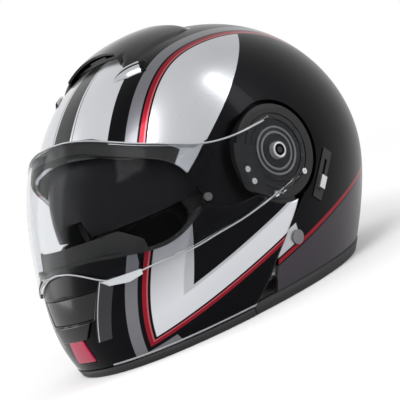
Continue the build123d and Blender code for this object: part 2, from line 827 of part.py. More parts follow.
def breath_guard():
    outer = chin_wall + skin_gap
    return both(skin(chin_form(-outer), chin_form(-outer - guard_thickness), half_region(guard_shares)))


def chin_curtain():
    """Flat wind stop across the bottom of the chin bar."""
    region = half_region(curtain_shares) & half_slab(curtain_height, curtain_height + curtain_thickness)
    outer = chin_wall + trim_inside + skin_gap
    return both(skin(chin_form(-outer), chin_form(-liner_depth - chin_liner_depth), region))


plate_screw_shares = ((0.195, -0.085), (0.205, -0.020), (0.100, -0.185), (-0.120, -0.150))


def screw_holes():
    """Sunk holes for the screws that clamp the base plate to the arm plate."""
    holes = []
    for forward, up in scaled(plate_screw_shares):
        head = disc(screw_radius + running_gap, base_outside - screw_head, outer_edge, forward, up)
        holes.append(head + disc(shank_radius + running_gap, arm_inside + visor_gap, outer_edge, forward, up))
    return holes


def plate_screws():
    screws = []
    for forward, up in scaled(plate_screw_shares):
        top = base_outside + screw_proud
        head = disc(screw_radius, base_outside - screw_head, top, forward, up)
        head = head - disc(socket_width / 2, top - screw_head / 2, outer_edge, forward, up)
        screws.append(head + disc(shank_radius, arm_inside + visor_gap, base_outside - screw_head, forward, up))
    return screws


def arm_plate():
    """Plate that turns on the pivot pin, with a tongue that carries the chin bar's arm."""
    plate = disc(plate_radius, arm_inside, arm_outside)
    tongue = prism(corner_face(scaled(tongue_shares)), arm_inside, outer_edge) & chin_form(-arm_wall - running_gap)
    tongue = tongue - disc(plate_radius + running_gap, arm_outside, outer_edge)
    return less(plate + tongue - disc(pin_radius + running_gap, 0, outer_edge), screw_holes())


def base_plate():
    """Visor base plate, with a thin lobe at its front and two ring grooves."""
    plate = disc(plate_radius, arm_outside, base_outside) & chin_form(-visor_gap)
    for radius in plate_grooves:
        ring = disc(radius + groove_width, base_outside - groove_width, outer_edge)
        plate = plate - (ring - disc(radius, 0, outer_edge))
    lobe = prism(corner_face(scaled(lobe_shares)), base_outside - lobe_thickness, base_outside)
    plate = plate + (lobe & chin_form(-visor_gap))
    return less(plate - disc(pin_radius + running_gap, 0, outer_edge), screw_holes())


def hub_cover():
    """Round cover over the pin, with the boss and cap that the visor turns on."""
    cover = disc(hub_radius, base_outside, hub_outside)
    groove = disc(hub_groove_outer, hub_outside - groove_width / 2, outer_edge)
    cover = cover - (groove - disc(hub_groove_inner, 0, outer_edge))
    cap_inside = visor_outside + skin_gap
    boss = disc(boss_radius, base_outside, cap_inside)
    return cover + boss + disc(cap_radius, cap_inside, cap_inside + cap_thickness)


def hook_outline():
    nose_out = striker_radius + 2 * parting_gap
    return [
        (hook_pin_forward + hook_width, hook_pin_up + hook_width),
        (hook_pin_forward - hook_pin_radius, hook_pin_up + hook_width),
        (hook_pin_forward - hook_width, hook_pin_up - hook_collar_radius),
        (striker_forward + nose_out, striker_up - nose_out),
        (striker_forward + striker_radius, striker_up - hook_width - parting_gap),
        (striker_forward + nose_out + parting_gap, striker_up - hook_width - hook_pin_radius),
        (hook_pin_forward + hook_collar_radius, hook_pin_up - hook_width),
    ]


def latch_hook():
    hook = prism(corner_face(hook_outline()), hook_inside, hook_inside + hook_thickness)
    return hook - disc(hook_pin_radius + running_gap, 0, outer_edge, hook_pin_forward, hook_pin_up)


def hook_pins():
    low = hook_inside - skin_gap
    shaft = disc(hook_pin_radius, low, outer_edge, hook_pin_forward, hook_pin_up)
    collar_low = hook_inside + hook_thickness + skin_gap
    collar = disc(hook_collar_radius, collar_low, outer_edge, hook_pin_forward, hook_pin_up)
    pin = (shaft + collar) & chin_form(-chin_wall)
    return group([pin, mirrored(pin)])


def visor():
    """Clear visor with a round ear at each side that turns on the hub cover's boss."""
    far = outside_share * reach
    high = top_share * reach
    top = scaled(visor_top_shares)
    bottom = scaled(visor_bottom_shares)
    low = bottom[0][1]
    face = side_face(top, (top[-1], (far, high)), ((far, high), (far, low)), ((far, low), bottom[0]), bottom)
    lens = skin(visor_form(visor_wall), visor_form(), half(face))
    ear = skin(visor_form(visor_wall), visor_form(), disc(ear_radius, 0, outer_edge))
    return both(lens + ear - disc(boss_radius + running_gap, 0, outer_edge))


tab_shares = ((0.945, -0.232), (0.930, -0.262), (0.880, -0.275), (0.830, -0.262), (0.828, -0.238))
pinlock_shares = (0.461, -0.056)
pinlock_radius = 3.4
pinlock_proud = 1.3
tab_proud = 2.6


def visor_tab():
    """Lifting tab on the visor's lower left edge."""
    face = half_region(tab_shares)
    return skin(visor_form(visor_wall + tab_proud), visor_form(visor_wall + running_gap), face)


def pinlock_pins():
    forward, up = [s * reach for s in pinlock_shares]
    bar = disc(pinlock_radius, 0, outer_edge, forward, up)
    pin = skin(visor_form(visor_wall + pinlock_proud), visor_form(visor_wall + running_gap), bar)
    return group([pin, mirrored(pin)])


def write(name, shape):
    export_step(shape, "parts/" + name + ".step")


def pair(name, piece):
    write(name + "_left", piece)
    write(name + "_right", mirrored(piece))


def main():
    os.makedirs("parts", exist_ok=True)
    write("crown_shell", crown_shell())
    write("crown_liner", crown_liner())
    write("crown_trim", crown_trim())
    write("brow_seal", brow_seal())
    write("brow_vent_cover", brow_vent_cover())
    write("brow_vent_shutter", brow_vent_shutter())
    pair("brow_fin", brow_fin())
    write("rear_spoiler", rear_spoiler())
    write("neck_outlet", neck_outlet())
    pair("pivot_pin", pivot_pin())
    pair("striker", striker())
    pair("strap_rivet", strap_rivet())
    write("chin_strap_left", chin_strap_left())
    write("chin_strap_right", chin_strap_right())
    housing, tongue, lever, lever_pin = buckle_parts()
    write("buckle_housing", housing)
    write("ratchet_tongue", tongue)
    write("buckle_lever", lever)
    write("buckle_pin", lever_pin)
    track, slide = slider_parts()
    write("slider_track", track)
    write("sun_visor_slider", slide)
    write("crown_pad", crown_pad())
    pair("cheek_pad", cheek_pad())
    write("neck_roll", neck_roll())
    write("sun_visor", sun_visor())
    write("sun_visor_pins", sun_visor_pins())
    write("chin_bar_shell", chin_bar_shell())
    write("chin_trim", chin_trim())
    write("chin_bar_liner", chin_bar_liner())
    pair("release_link", release_link())
    write("release_button", release_button())
    write("chin_vent_shutter", chin_vent_shutter())
    write("chin_scoop", chin_scoop())
    write("breath_guard", breath_guard())
    write("chin_curtain", chin_curtain())
    write("chin_seal", chin_seal())
    pair("arm_plate", arm_plate())
    pair("base_plate", base_plate())
    pair("hub_cover", hub_cover())
    screws = plate_screws()
    write("plate_screws_left", group(screws))
    write("plate_screws_right", group([mirrored(screw) for screw in screws]))
    pair("latch_hook", latch_hook())
    write("hook_pins", hook_pins())
    write("visor", visor())
    write("visor_tab", visor_tab())
    write("pinlock_pins", pinlock_pins())


main()
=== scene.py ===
import bpy
import bmesh
import math
import numpy as np
from mathutils import Matrix, Vector
from mathutils.bvhtree import BVHTree
from mathutils.kdtree import KDTree


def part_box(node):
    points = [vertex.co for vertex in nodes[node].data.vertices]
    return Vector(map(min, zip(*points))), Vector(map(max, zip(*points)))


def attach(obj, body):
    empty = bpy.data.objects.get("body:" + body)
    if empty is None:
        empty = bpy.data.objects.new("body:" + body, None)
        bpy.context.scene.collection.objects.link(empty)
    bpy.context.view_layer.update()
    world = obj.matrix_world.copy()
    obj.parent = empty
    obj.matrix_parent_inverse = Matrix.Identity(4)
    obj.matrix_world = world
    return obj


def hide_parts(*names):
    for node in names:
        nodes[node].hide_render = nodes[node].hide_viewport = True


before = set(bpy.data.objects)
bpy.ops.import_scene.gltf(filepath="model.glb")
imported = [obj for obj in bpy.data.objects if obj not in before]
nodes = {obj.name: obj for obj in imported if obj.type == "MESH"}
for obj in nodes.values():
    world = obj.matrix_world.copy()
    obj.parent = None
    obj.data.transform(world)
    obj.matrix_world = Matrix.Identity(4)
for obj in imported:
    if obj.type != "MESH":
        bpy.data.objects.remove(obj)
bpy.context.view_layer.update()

mm = 0.001
reach = 180.0           # lengths below are millimetres, or shares of this reach
pivotBack = 9.14
pivotHeight = 122.0
flatShare = math.sin(math.radians(79))

# for every 20 degrees from -90 to 250, counted up from straight ahead: radius share and section power
crownRows = [(1.100, 2.40), (1.172, 2.30), (1.217, 2.15), (1.167, 2.10), (0.989, 2.15), (0.861, 2.30),
             (0.792, 2.40), (0.772, 2.45), (0.764, 2.50), (0.758, 2.45), (0.783, 2.40), (0.828, 2.40),
             (0.883, 2.40), (0.925, 2.45), (0.933, 2.50), (0.917, 2.45), (0.939, 2.40), (1.011, 2.40)]
visorRows = [(1.100, 2.40), (1.172, 2.30), (1.217, 2.15), (1.167, 2.10), (0.989, 2.15), (0.884, 2.20),
             (0.834, 2.20), (0.818, 2.20), (0.808, 2.20), (0.803, 2.20), (0.806, 2.20), (0.836, 2.30),
             (0.883, 2.40), (0.925, 2.45), (0.933, 2.50), (0.917, 2.45), (0.939, 2.40), (1.011, 2.40)]
browRows = [(0.700, 2.40), (0.700, 2.40), (0.700, 2.40), (0.700, 2.40), (0.700, 2.40), (0.700, 2.40),
            (0.740, 2.40), (0.796, 2.45), (0.815, 2.50), (0.811, 2.45), (0.812, 2.40), (0.800, 2.40),
            (0.740, 2.40), (0.700, 2.45), (0.700, 2.50), (0.700, 2.45), (0.700, 2.40), (0.700, 2.40)]


def wrapCurve(values):
    # a closed cubic curve through values that lie 20 degrees apart
    values = np.array(values, float)
    count = len(values)
    system = np.zeros((count, count))
    right = np.zeros(count)
    for i in range(count):
        system[i, i] = 4
        system[i, (i + 1) % count] += 1
        system[i, (i - 1) % count] += 1
        right[i] = 6 * (values[(i + 1) % count] - 2 * values[i] + values[(i - 1) % count])
    bend = np.linalg.solve(system, right)

    def at(angle):
        place = (np.asarray(angle, float) + 90) / 20 % count
        i = np.floor(place).astype(int) % count
        part = place - np.floor(place)
        j = (i + 1) % count
        return ((bend[i] * (1 - part) ** 3 + bend[j] * part ** 3) / 6
                + (values[i] - bend[i] / 6) * (1 - part) + (values[j] - bend[j] / 6) * part)
    return at


class Form:
    # a rounded form about the side pivot: points are (forward, up, aside)
    def __init__(self, rows, halfWidth, grow=0.0):
        self.rows, self.halfWidth, self.grow = rows, halfWidth, grow
        self.radiusAt = wrapCurve([share * reach for share, power in rows])
        self.powerAt = wrapCurve([power for share, power in rows])

    def grown(self, grow):
        return Form(self.rows, self.halfWidth, self.grow + grow)

    def polar(self, f, u):
        f, u = np.asarray(f, float), np.asarray(u, float)
        return np.hypot(f, u), np.degrees(np.arctan2(u, f))

    def turnAt(self, f, u):
        rho, phi = self.polar(f, u)
        power = self.powerAt(phi)
        part = np.clip(1 - (rho / (self.radiusAt(phi) + self.grow)) ** power, 0, 1) ** (1 / power)
        return np.degrees(np.arcsin(np.clip(part, 0, 1)))

    def asideOf(self, turn):
        x = (self.halfWidth + self.grow) * np.sin(np.radians(turn))
        flat = (self.halfWidth + self.grow) * flatShare
        soft = 0.6
        bent = flat - soft * np.exp(-np.maximum(x - flat + soft, 0) / soft)
        return np.where(x > flat - soft, bent, x)

    def aside(self, f, u):
        return self.asideOf(self.turnAt(f, u))

    def rho(self, phi, turn):
        power = self.powerAt(phi)
        across = np.abs(np.sin(np.radians(turn)))
        return (self.radiusAt(phi) + self.grow) * np.clip(1 - across ** power, 0, 1) ** (1 / power)

    def at(self, phi, turn):
        rho = self.rho(phi, turn)
        f, u = rho * np.cos(np.radians(phi)), rho * np.sin(np.radians(phi))
        return np.stack(np.broadcast_arrays(f, u, self.asideOf(turn)), -1)

    def chart(self, points):
        # flat map of the left half: the pivot in the middle, the middle plane at 90
        points = np.asarray(points, float)
        phi = np.radians(self.polar(points[..., 0], points[..., 1])[1])
        far = 90 - self.turnAt(points[..., 0], points[..., 1])
        return np.stack([far * np.cos(phi), far * np.sin(phi)], -1)

    def fromChart(self, flat):
        far = np.hypot(flat[..., 0], flat[..., 1])
        phi = np.degrees(np.arctan2(flat[..., 1], flat[..., 0]))
        return self.at(phi, np.clip(90 - far, 0, 90))

    def upAt(self, x, f, sign=1.0):
        # height over a plan point, on the upper or lower side
        turn = np.degrees(np.arcsin(np.clip(np.abs(x) / (self.halfWidth + self.grow), 0, 1)))
        u = np.full(np.broadcast(x, f).shape, sign * 100.0)
        for _ in range(25):
            phi = np.degrees(np.arctan2(u, f))
            left = np.clip(self.rho(phi, turn) ** 2 - np.asarray(f) ** 2, 0, None)
            u = 0.5 * u + 0.5 * sign * np.sqrt(left)
        return u

    def aheadAt(self, x, u):
        # forward distance of a point on the front
        turn = np.degrees(np.arcsin(np.clip(np.abs(x) / (self.halfWidth + self.grow), 0, 1)))
        f = np.full(np.broadcast(x, u).shape, 150.0)
        for _ in range(25):
            phi = np.degrees(np.arctan2(u, f))
            left = np.clip(self.rho(phi, turn) ** 2 - np.asarray(u) ** 2, 0, None)
            f = 0.5 * f + 0.5 * np.sqrt(left)
        return f


crownForm = Form(crownRows, 127.6)
chinForm = Form(crownRows, 129.0)
visorForm = Form(visorRows, 129.0, 1.0)
browForm = Form(browRows, 104.0)


def smoothLine(points, count):
    # a natural cubic through a few points, as evenly spaced points
    p = np.array(points, float)
    along = np.r_[0, np.cumsum(np.linalg.norm(np.diff(p, axis=0), axis=1))]
    step = np.diff(along)
    n = len(p)
    system, right = np.eye(n), np.zeros_like(p)
    for i in range(1, n - 1):
        system[i, i - 1:i + 2] = step[i - 1], 2 * (step[i - 1] + step[i]), step[i]
        right[i] = 6 * ((p[i + 1] - p[i]) / step[i] - (p[i] - p[i - 1]) / step[i - 1])
    bend = np.linalg.solve(system, right)
    s = np.linspace(0, along[-1], 600)
    i = np.clip(np.searchsorted(along, s, side="right") - 1, 0, n - 2)
    h = step[i][:, None]
    a, b = (along[i + 1] - s)[:, None] / h, (s - along[i])[:, None] / h
    q = a * p[i] + b * p[i + 1] + ((a ** 3 - a) * bend[i] + (b ** 3 - b) * bend[i + 1]) * h ** 2 / 6
    length = np.r_[0, np.cumsum(np.linalg.norm(np.diff(q, axis=0), axis=1))]
    want = np.linspace(0, length[-1], count)
    return np.stack([np.interp(want, length, q[:, k]) for k in range(p.shape[1])], 1)


def scaled(shares):
    return [(f * reach, u * reach) for f, u in shares]


def patch(form, rear, front, top, bottom, across):
    # a surface between four side-view curves, worked out on the form's flat map
    rear, front, top, bottom = [form.chart(curve) if curve.shape[1] == 2 else curve[:, :2]
                                for curve in (rear, front, top, bottom)]
    n = len(top)
    v = np.linspace(0, 1, n)[:, None, None]
    w = np.asarray(across)[None, :, None]
    keep = np.linspace(0, 1, len(rear))
    rearAt = np.stack([np.interp(across, keep, rear[:, k]) for k in (0, 1)], 1)[None]
    frontAt = np.stack([np.interp(across, keep, front[:, k]) for k in (0, 1)], 1)[None]
    corners = ((1 - v) * (1 - w) * top[0] + v * (1 - w) * top[-1] + (1 - v) * w * bottom[0]
               + v * w * bottom[-1])
    return (1 - w) * top[:, None] + w * bottom[:, None] + (1 - v) * rearAt + v * frontAt - corners


def middleLine(form, first, last, count):
    # the form's middle line between two angles, as points on the flat map with a marker column
    phi = np.radians(np.linspace(first, last, count))
    return np.stack([90 * np.cos(phi), 90 * np.sin(phi), phi * 0], 1)


def gridFaces(rows, columns, close=False):
    faces = []
    for i in range(rows - 1):
        for j in range(columns if close else columns - 1):
            k = (j + 1) % columns
            faces.append((i * columns + j, i * columns + k, (i + 1) * columns + k, (i + 1) * columns + j))
    return faces


def newObject(name, mesh):
    thing = bpy.data.objects.new(name, mesh)
    bpy.context.scene.collection.objects.link(thing)
    return thing


def makeMesh(name, points, faces, mirror=False, flip=None):
    # points are (forward, up, aside) in millimetres
    points = np.asarray(points, float).reshape(-1, 3)
    faces = [tuple(face) for face in faces]
    if mirror:
        count = len(points)
        points = np.concatenate([points, points * (1, 1, -1)])
        faces += [tuple(i + count for i in reversed(face)) for face in faces]
    place = np.stack([points[:, 2], pivotBack - points[:, 0], pivotHeight + points[:, 1]], 1) * mm
    mesh = bpy.data.meshes.new(name)
    mesh.from_pydata([tuple(p) for p in place], [], faces)
    tool = bmesh.new()
    tool.from_mesh(mesh)
    bmesh.ops.remove_doubles(tool, verts=tool.verts, dist=0.00002)
    bmesh.ops.dissolve_degenerate(tool, dist=0.00001, edges=tool.edges)
    bmesh.ops.recalc_face_normals(tool, faces=tool.faces)
    if flip is not None:
        # an open sheet faces away from this point
        centre = Vector(flip)
        facing = sum(face.normal.dot(face.calc_center_median() - centre) * face.calc_area()
                     for face in tool.faces)
        if facing < 0:
            bmesh.ops.reverse_faces(tool, faces=tool.faces)
    for face in tool.faces:
        face.smooth = True
    tool.to_mesh(mesh)
    tool.free()
    return newObject(name, mesh)


def baked(thing):
    # applies every modifier
    depsgraph = bpy.context.evaluated_depsgraph_get()
    mesh = bpy.data.meshes.new_from_object(thing.evaluated_get(depsgraph))
    thing.modifiers.clear()
    old = thing.data
    thing.data = mesh
    mesh.name = thing.name
    bpy.data.meshes.remove(old)
    return thing


def thicken(thing, wall, bevel=0.0, segments=2, angle=35):
    wallTool = thing.modifiers.new("wall", "SOLIDIFY")
    wallTool.thickness, wallTool.offset, wallTool.use_even_offset = wall * mm, -1.0, False
    if bevel:
        roundEdges(thing, bevel, segments, angle)
    return thing


def roundEdges(thing, width, segments=2, angle=35):
    tool = thing.modifiers.new("edges", "BEVEL")
    tool.width, tool.segments, tool.limit_method = width * mm, segments, "ANGLE"
    tool.angle_limit, tool.harden_normals = math.radians(angle), True
    tool.use_clamp_overlap = True
    return thing


def dress(thing, body, material, stands=()):
    thing.data.materials.clear()
    thing.data.materials.append(material)
    if stands:
        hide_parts(*stands)
    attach(thing, body)
    return thing


class Term:
    # one socket that takes part in sums
    def __init__(self, kit, socket):
        self.kit, self.socket = kit, socket

    def math(self, operation, *others):
        return self.kit.node("ShaderNodeMath", {"operation": operation}, *((self,) + others))

    def __add__(self, other):
        return self.math("ADD", other)

    def __mul__(self, other):
        return self.math("MULTIPLY", other)

    def __sub__(self, other):
        return self.math("SUBTRACT", other)

    def __rsub__(self, other):
        return (self * -1) + other

    def __abs__(self):
        return self.math("ABSOLUTE")

    __radd__ = __add__
    __rmul__ = __mul__

    def top(self, other):
        return self.math("MAXIMUM", other)

    def low(self, other):
        return self.math("MINIMUM", other)


class Kit:
    # one material, its shader and its side-view coordinates in millimetres
    def __init__(self, name):
        self.material = bpy.data.materials.new(name)
        self.material.use_nodes = True
        self.tree = self.material.node_tree
        self.shader = next(n for n in self.tree.nodes if n.type == "BSDF_PRINCIPLED")
        place = self.node("ShaderNodeTexCoord", {}, out="Object")
        self.place = place
        split = self.raw("ShaderNodeSeparateXYZ", {}, place)
        self.aside = abs(Term(self, split.outputs[0]) * 1000)
        self.forward = pivotBack - Term(self, split.outputs[1]) * 1000
        self.up = Term(self, split.outputs[2]) * 1000 - pivotHeight

    def raw(self, kind, settings, *values, **named):
        made = self.tree.nodes.new(kind)
        for key, value in settings.items():
            setattr(made, key, value)
        for key, value in list(enumerate(values)) + list(named.items()):
            socket = made.inputs[key]
            if isinstance(value, Term):
                self.tree.links.new(value.socket, socket)
            elif isinstance(value, bpy.types.NodeSocket):
                self.tree.links.new(value, socket)
            else:
                socket.default_value = value
        return made

    def node(self, kind, settings, *values, out=0, **named):
        return Term(self, self.raw(kind, settings, *values, **named).outputs[out])

    def rise(self, value, edge, soft=0.15):
        # 0 below the edge, 1 above it
        return self.node("ShaderNodeMapRange", {"clamp": True}, value, edge - soft, edge + soft, 0.0, 1.0)

    def band(self, value, low, high, soft=0.15):
        return self.rise(value, low, soft) * (1 - self.rise(value, high, soft))

    def blend(self, mask, colourA, colourB):
        made = self.raw("ShaderNodeMix", {"data_type": "RGBA"})
        for index, value in ((0, mask), (6, colourA), (7, colourB)):
            if isinstance(value, Term):
                self.tree.links.new(value.socket, made.inputs[index])
            elif index:
                made.inputs[index].default_value = (*value, 1)
            else:
                made.inputs[index].default_value = value
        return Term(self, made.outputs[2])

    def pivotDistance(self):
        return (self.forward * self.forward + self.up * self.up).math("SQRT")

    def noise(self, scale, detail=2.0):
        return self.node("ShaderNodeTexNoise", {}, self.place, Scale=scale, Detail=detail)

    def set(self, **values):
        for key, value in values.items():
            socket = self.shader.inputs[key.replace("_", " ")]
            if isinstance(value, Term):
                self.tree.links.new(value.socket, socket)
            elif key in ("Base_Color", "Emission_Color"):
                socket.default_value = (*value, 1)
            else:
                socket.default_value = value
        return self

    def bump(self, height, distance, strength=1.0):
        made = self.raw("ShaderNodeBump", {}, Strength=strength, Distance=distance, Height=height)
        self.tree.links.new(made.outputs[0], self.shader.inputs["Normal"])
        return self


# paintedPinkHighlight is a painted highlight along one side of the red stripes
paintColours = dict(silver=(0.42, 0.43, 0.45), pale=(0.60, 0.61, 0.64), grey=(0.15, 0.15, 0.165),
                    charcoal=(0.008, 0.008, 0.009), black=(0.003, 0.003, 0.004), red=(0.23, 0.008, 0.018),
                    paintedPinkHighlight=(0.46, 0.08, 0.10), plum=(0.050, 0.044, 0.052), smoke=(0.040, 0.040, 0.044))


def metallicPaint(kit, colour, metal):
    flake = kit.noise(2600.0, 1.0)
    wave = kit.noise(9.0, 2.0)
    colour = kit.blend(flake * metal * 0.22, colour, (0.0, 0.0, 0.0))
    bright = colour.math("MULTIPLY", 1.6).low(0.6)
    kit.set(Base_Color=colour, Metallic=0.35 + metal * 0.45, Roughness=0.25 + wave * 0.06,
            Coat_Weight=bright + 0.05, Coat_Roughness=0.03, Specular_IOR_Level=0.07)
    return kit.material


# crown stripes lie at distances from the middle plane, and the tail's stripes at heights on a slope
crownStripes = dict(drawIn=0.045, middle=9.0, thinLine=(11.5, 13.0), dark=57.0, grey=(72.0, 81.0),
                    darkBehind=-22.0, red=(82.6, 86.4), pinkHighlightFrom=85.4, panel=87.6, panelSlope=0.70,
                    panelFoot=75.0, well=46.6)
tailStripes = dict(slope=0.228, ends=90.0, silver=(-76.2, -62.0), silverBehind=9.0, black=-77.4,
                   red=(-81.2, -77.8), plum=-82.4)
# chin stripes lie at distances in from the panel's corner, beside the vent, and along the lower rim
chinStripes = dict(vent=(46.0, 61.0), ventLine=(47.2, 48.2), ventHeight=(-90.0, -41.0), grey=(-14.0, -5.0),
                   greyEnds=80.0, red=(-1.9, 1.7), pinkHighlightFrom=0.8, panel=3.4, panelInner=21.0,
                   rimLine=(-114.0, -112.2), rimLineFrom=28.0)


def crownPaint():
    kit = Kit("crownPaint")
    c, at, tail = paintColours, crownStripes, tailStripes
    f, u = kit.forward, kit.up
    lane = kit.aside - f * at["drawIn"]        # stripes run from brow to nape and draw in a little
    paintedSheen = kit.rise(f + u * 0.4, 95.0, 60.0)   # painted sheen: the silver is painted paler at the front top and darker towards the rear, standing in for reflected light and shade
    silver = kit.blend(paintedSheen, c["silver"], c["pale"])
    colour = kit.blend(kit.rise(lane, at["middle"]), c["charcoal"], silver)
    colour = kit.blend(kit.band(lane, *at["thinLine"]), colour, c["grey"])
    colour = kit.blend(kit.rise(lane, at["dark"]), colour, c["black"])
    colour = kit.blend(kit.band(lane, *at["grey"]), colour, c["grey"])
    top = (1 - kit.rise(f, at["darkBehind"])) * (1 - kit.rise(lane, at["grey"][0]))
    colour = kit.blend(top, colour, c["charcoal"])
    # painted highlight: the outer part of the red stripe is painted pink
    red = kit.blend(kit.rise(lane, at["pinkHighlightFrom"]), c["red"], c["paintedPinkHighlight"])
    colour = kit.blend(kit.band(lane, *at["red"]), colour, red)
    side = kit.rise(lane, at["panel"])
    colour = kit.blend(side, colour, silver)
    low = side * (1 - kit.rise(u + f * at["panelSlope"], at["panelFoot"]))
    colour = kit.blend(low, colour, c["black"])
    streak = u + f * tail["slope"]
    under = (1 - kit.rise(streak, tail["black"])) * (1 - kit.rise(f, tail["ends"]))
    heel = kit.band(streak, *tail["silver"]) * kit.rise(f, tail["silverBehind"], 0.6)
    colour = kit.blend(heel, colour, c["silver"])
    colour = kit.blend(under, colour, c["black"])
    colour = kit.blend(kit.band(streak, *tail["red"]) * under, colour, c["red"])
    colour = kit.blend((1 - kit.rise(streak, tail["plum"])) * under, colour, c["plum"])
    colour = kit.blend(kit.rise(kit.pivotDistance(), at["well"]), c["black"], colour)
    return metallicPaint(kit, colour, 1 - low * 0.6)


def chinPaint():
    kit = Kit("chinPaint")
    c, at = paintColours, chinStripes
    f, u, x = kit.forward, kit.up, kit.aside
    rail = u + f * 0.262                       # runs along the lower edge
    depth = (x - (u + 106.0) * 0.28 - 66.0).low(rail + 65.5)
    strip = x - (u + 43.0) * 0.40              # follows the slanted side of the vent
    level = kit.band(u, *at["ventHeight"])
    colour = kit.blend(kit.band(strip, *at["vent"]) * level, c["black"], c["smoke"])
    colour = kit.blend(kit.band(strip, *at["ventLine"]) * level, colour, c["silver"])
    colour = kit.blend(kit.band(depth, *at["grey"]) * (1 - kit.rise(x, at["greyEnds"])), colour, c["grey"])
    # painted highlight: one side of the red stripe is painted pink
    red = kit.blend(kit.rise(depth, at["pinkHighlightFrom"]), c["red"], c["paintedPinkHighlight"])
    colour = kit.blend(kit.band(depth, *at["red"]), colour, red)
    tone = kit.blend(kit.rise(depth, at["panelInner"], 0.4), c["pale"], c["silver"])
    # painted shade: the panel is painted greyer higher up, away from the lower rim, standing in for shade and
    # reflected light
    paintedSheen = kit.rise(rail, -20.0, 26.0)
    tone = kit.blend(paintedSheen * 0.75, tone, c["grey"])
    colour = kit.blend(kit.rise(depth, at["panel"]), colour, tone)
    arm = (1 - kit.rise(f + u * 0.35, 92.0)) * kit.rise(rail, -42.0)
    colour = kit.blend(arm, colour, c["black"])
    rim = kit.band(u, *at["rimLine"]) * kit.rise(x, at["rimLineFrom"])
    colour = kit.blend(rim, colour, c["silver"])
    return metallicPaint(kit, colour, 0.8)


def plainMaterial(name, colour, roughness, coat=0.0, grain=0.0, grainSize=900.0, depth=0.0002, shine=0.5):
    kit = Kit(name)
    tint = kit.noise(30.0, 3.0)
    shade = kit.blend(tint * 0.35, colour, tuple(v * 0.75 for v in colour))
    kit.set(Base_Color=shade, Roughness=roughness + (kit.noise(90.0) - 0.5) * 0.08, Coat_Weight=coat,
            Specular_IOR_Level=shine)
    if grain:
        kit.bump(kit.noise(grainSize, 3.0), depth, grain)
    return kit.material


def brushedMetal(name, colour, roughness=0.3):
    kit = Kit(name)
    drawn = kit.node("ShaderNodeMapping", {}, kit.place, Scale=(900, 60, 60))
    streak = kit.node("ShaderNodeTexNoise", {}, drawn, Scale=3.0)
    kit.set(Base_Color=kit.blend(streak * 0.4, colour, tuple(v * 0.6 for v in colour)), Metallic=1.0,
            Roughness=roughness + streak * 0.12)
    kit.bump(streak, 0.00005, 0.3)
    return kit.material


def wovenMaterial(name, colour, pitch=1.6):
    kit = Kit(name)
    split = kit.raw("ShaderNodeSeparateXYZ", {}, kit.place)
    waves = []
    for axis in range(3):
        turn = Term(kit, split.outputs[axis]) * (2 * math.pi * 1000 / pitch)
        waves.append(turn.math("SINE"))
    weave = waves[0] * waves[1] + waves[1] * waves[2] + waves[2] * waves[0]
    shade = kit.blend(kit.rise(weave, 0.2, 0.6), tuple(v * 0.45 for v in colour), colour)
    kit.set(Base_Color=shade, Roughness=0.85)
    kit.bump(weave, 0.0002, 0.6)
    return kit.material


def leatherMaterial(name, colour):
    kit = Kit(name)
    cells = kit.node("ShaderNodeTexVoronoi", {}, kit.place, Scale=700.0)
    kit.set(Base_Color=kit.blend(cells * 0.8, colour, tuple(v * 1.8 for v in colour)), Roughness=0.52)
    kit.bump(cells, 0.0003, 0.5)
    return kit.material


def lensMaterial(name, tint, see, clear=1.0):
    # see is how much light passes through the plastic
    kit = Kit(name)
    kit.set(Base_Color=tint, Roughness=0.0, Transmission_Weight=see, IOR=1.08, Alpha=clear)
    return kit.material


def ringedPlastic():
    # moulded rings about the pivot with painted light: the ridges and the cap's rim are painted pale as
    # highlights, the grooves near black as shade
    kit = Kit("ringedPlastic")
    away = kit.pivotDistance()
    outer = kit.band(away, 20.0, 21.7, 0.35)
    inner = kit.band(away, 15.4, 17.2, 0.35)
    capRim = kit.band(away, 5.0, 7.6, 0.3)
    ridgeHighlight = outer + inner + capRim
    colour = kit.blend(ridgeHighlight, (0.005, 0.005, 0.005), (0.20, 0.20, 0.21))
    kit.set(Base_Color=colour, Roughness=0.45, Specular_IOR_Level=0.3)
    return kit.material


glossBlack = plainMaterial("glossBlack", (0.004, 0.004, 0.005), 0.16, coat=0.12, shine=0.25)
matteBlack = plainMaterial("matteBlack", (0.012, 0.012, 0.013), 0.5, grain=0.4, grainSize=1400.0, shine=0.3)
rubberGrey = plainMaterial("rubberGrey", (0.016, 0.016, 0.017), 0.55, grain=0.5, grainSize=1100.0, shine=0.3)
rubberBlack = plainMaterial("rubberBlack", (0.010, 0.010, 0.010), 0.6, grain=0.4, shine=0.3)
satinBlack = plainMaterial("satinBlack", (0.012, 0.012, 0.013), 0.5, shine=0.25)
foamBlack = plainMaterial("foamBlack", (0.014, 0.014, 0.014), 0.9, grain=1.0, grainSize=420.0, depth=0.0006)
redGloss = plainMaterial("redGloss", (0.36, 0.005, 0.045), 0.25, coat=0.4, shine=0.3)
steel = brushedMetal("steel", (0.62, 0.62, 0.63))
darkSteel = brushedMetal("darkSteel", (0.11, 0.11, 0.115), 0.38)
rivetSteel = brushedMetal("rivetSteel", (0.20, 0.20, 0.21), 0.34)
webbing = wovenMaterial("webbing", (0.03, 0.03, 0.033))
lining = wovenMaterial("lining", (0.035, 0.035, 0.04), 2.2)
neckLeather = leatherMaterial("neckLeather", (0.022, 0.022, 0.023))
clearLens = lensMaterial("clearLens", (0.86, 0.87, 0.885), 1.0)
clearTab = lensMaterial("clearTab", (0.74, 0.76, 0.78), 0.45)
# painted highlight: pale grey for the bright lines along the visor's edges
visorEdgeHighlight = plainMaterial("visorEdgeHighlight", (0.34, 0.35, 0.36), 0.2, coat=0.5)
smokedLens = lensMaterial("smokedLens", (0.012, 0.012, 0.014), 0.0, 0.93)
crownSkin = crownPaint()
chinSkin = chinPaint()
ringSkin = ringedPlastic()
print("materials made")

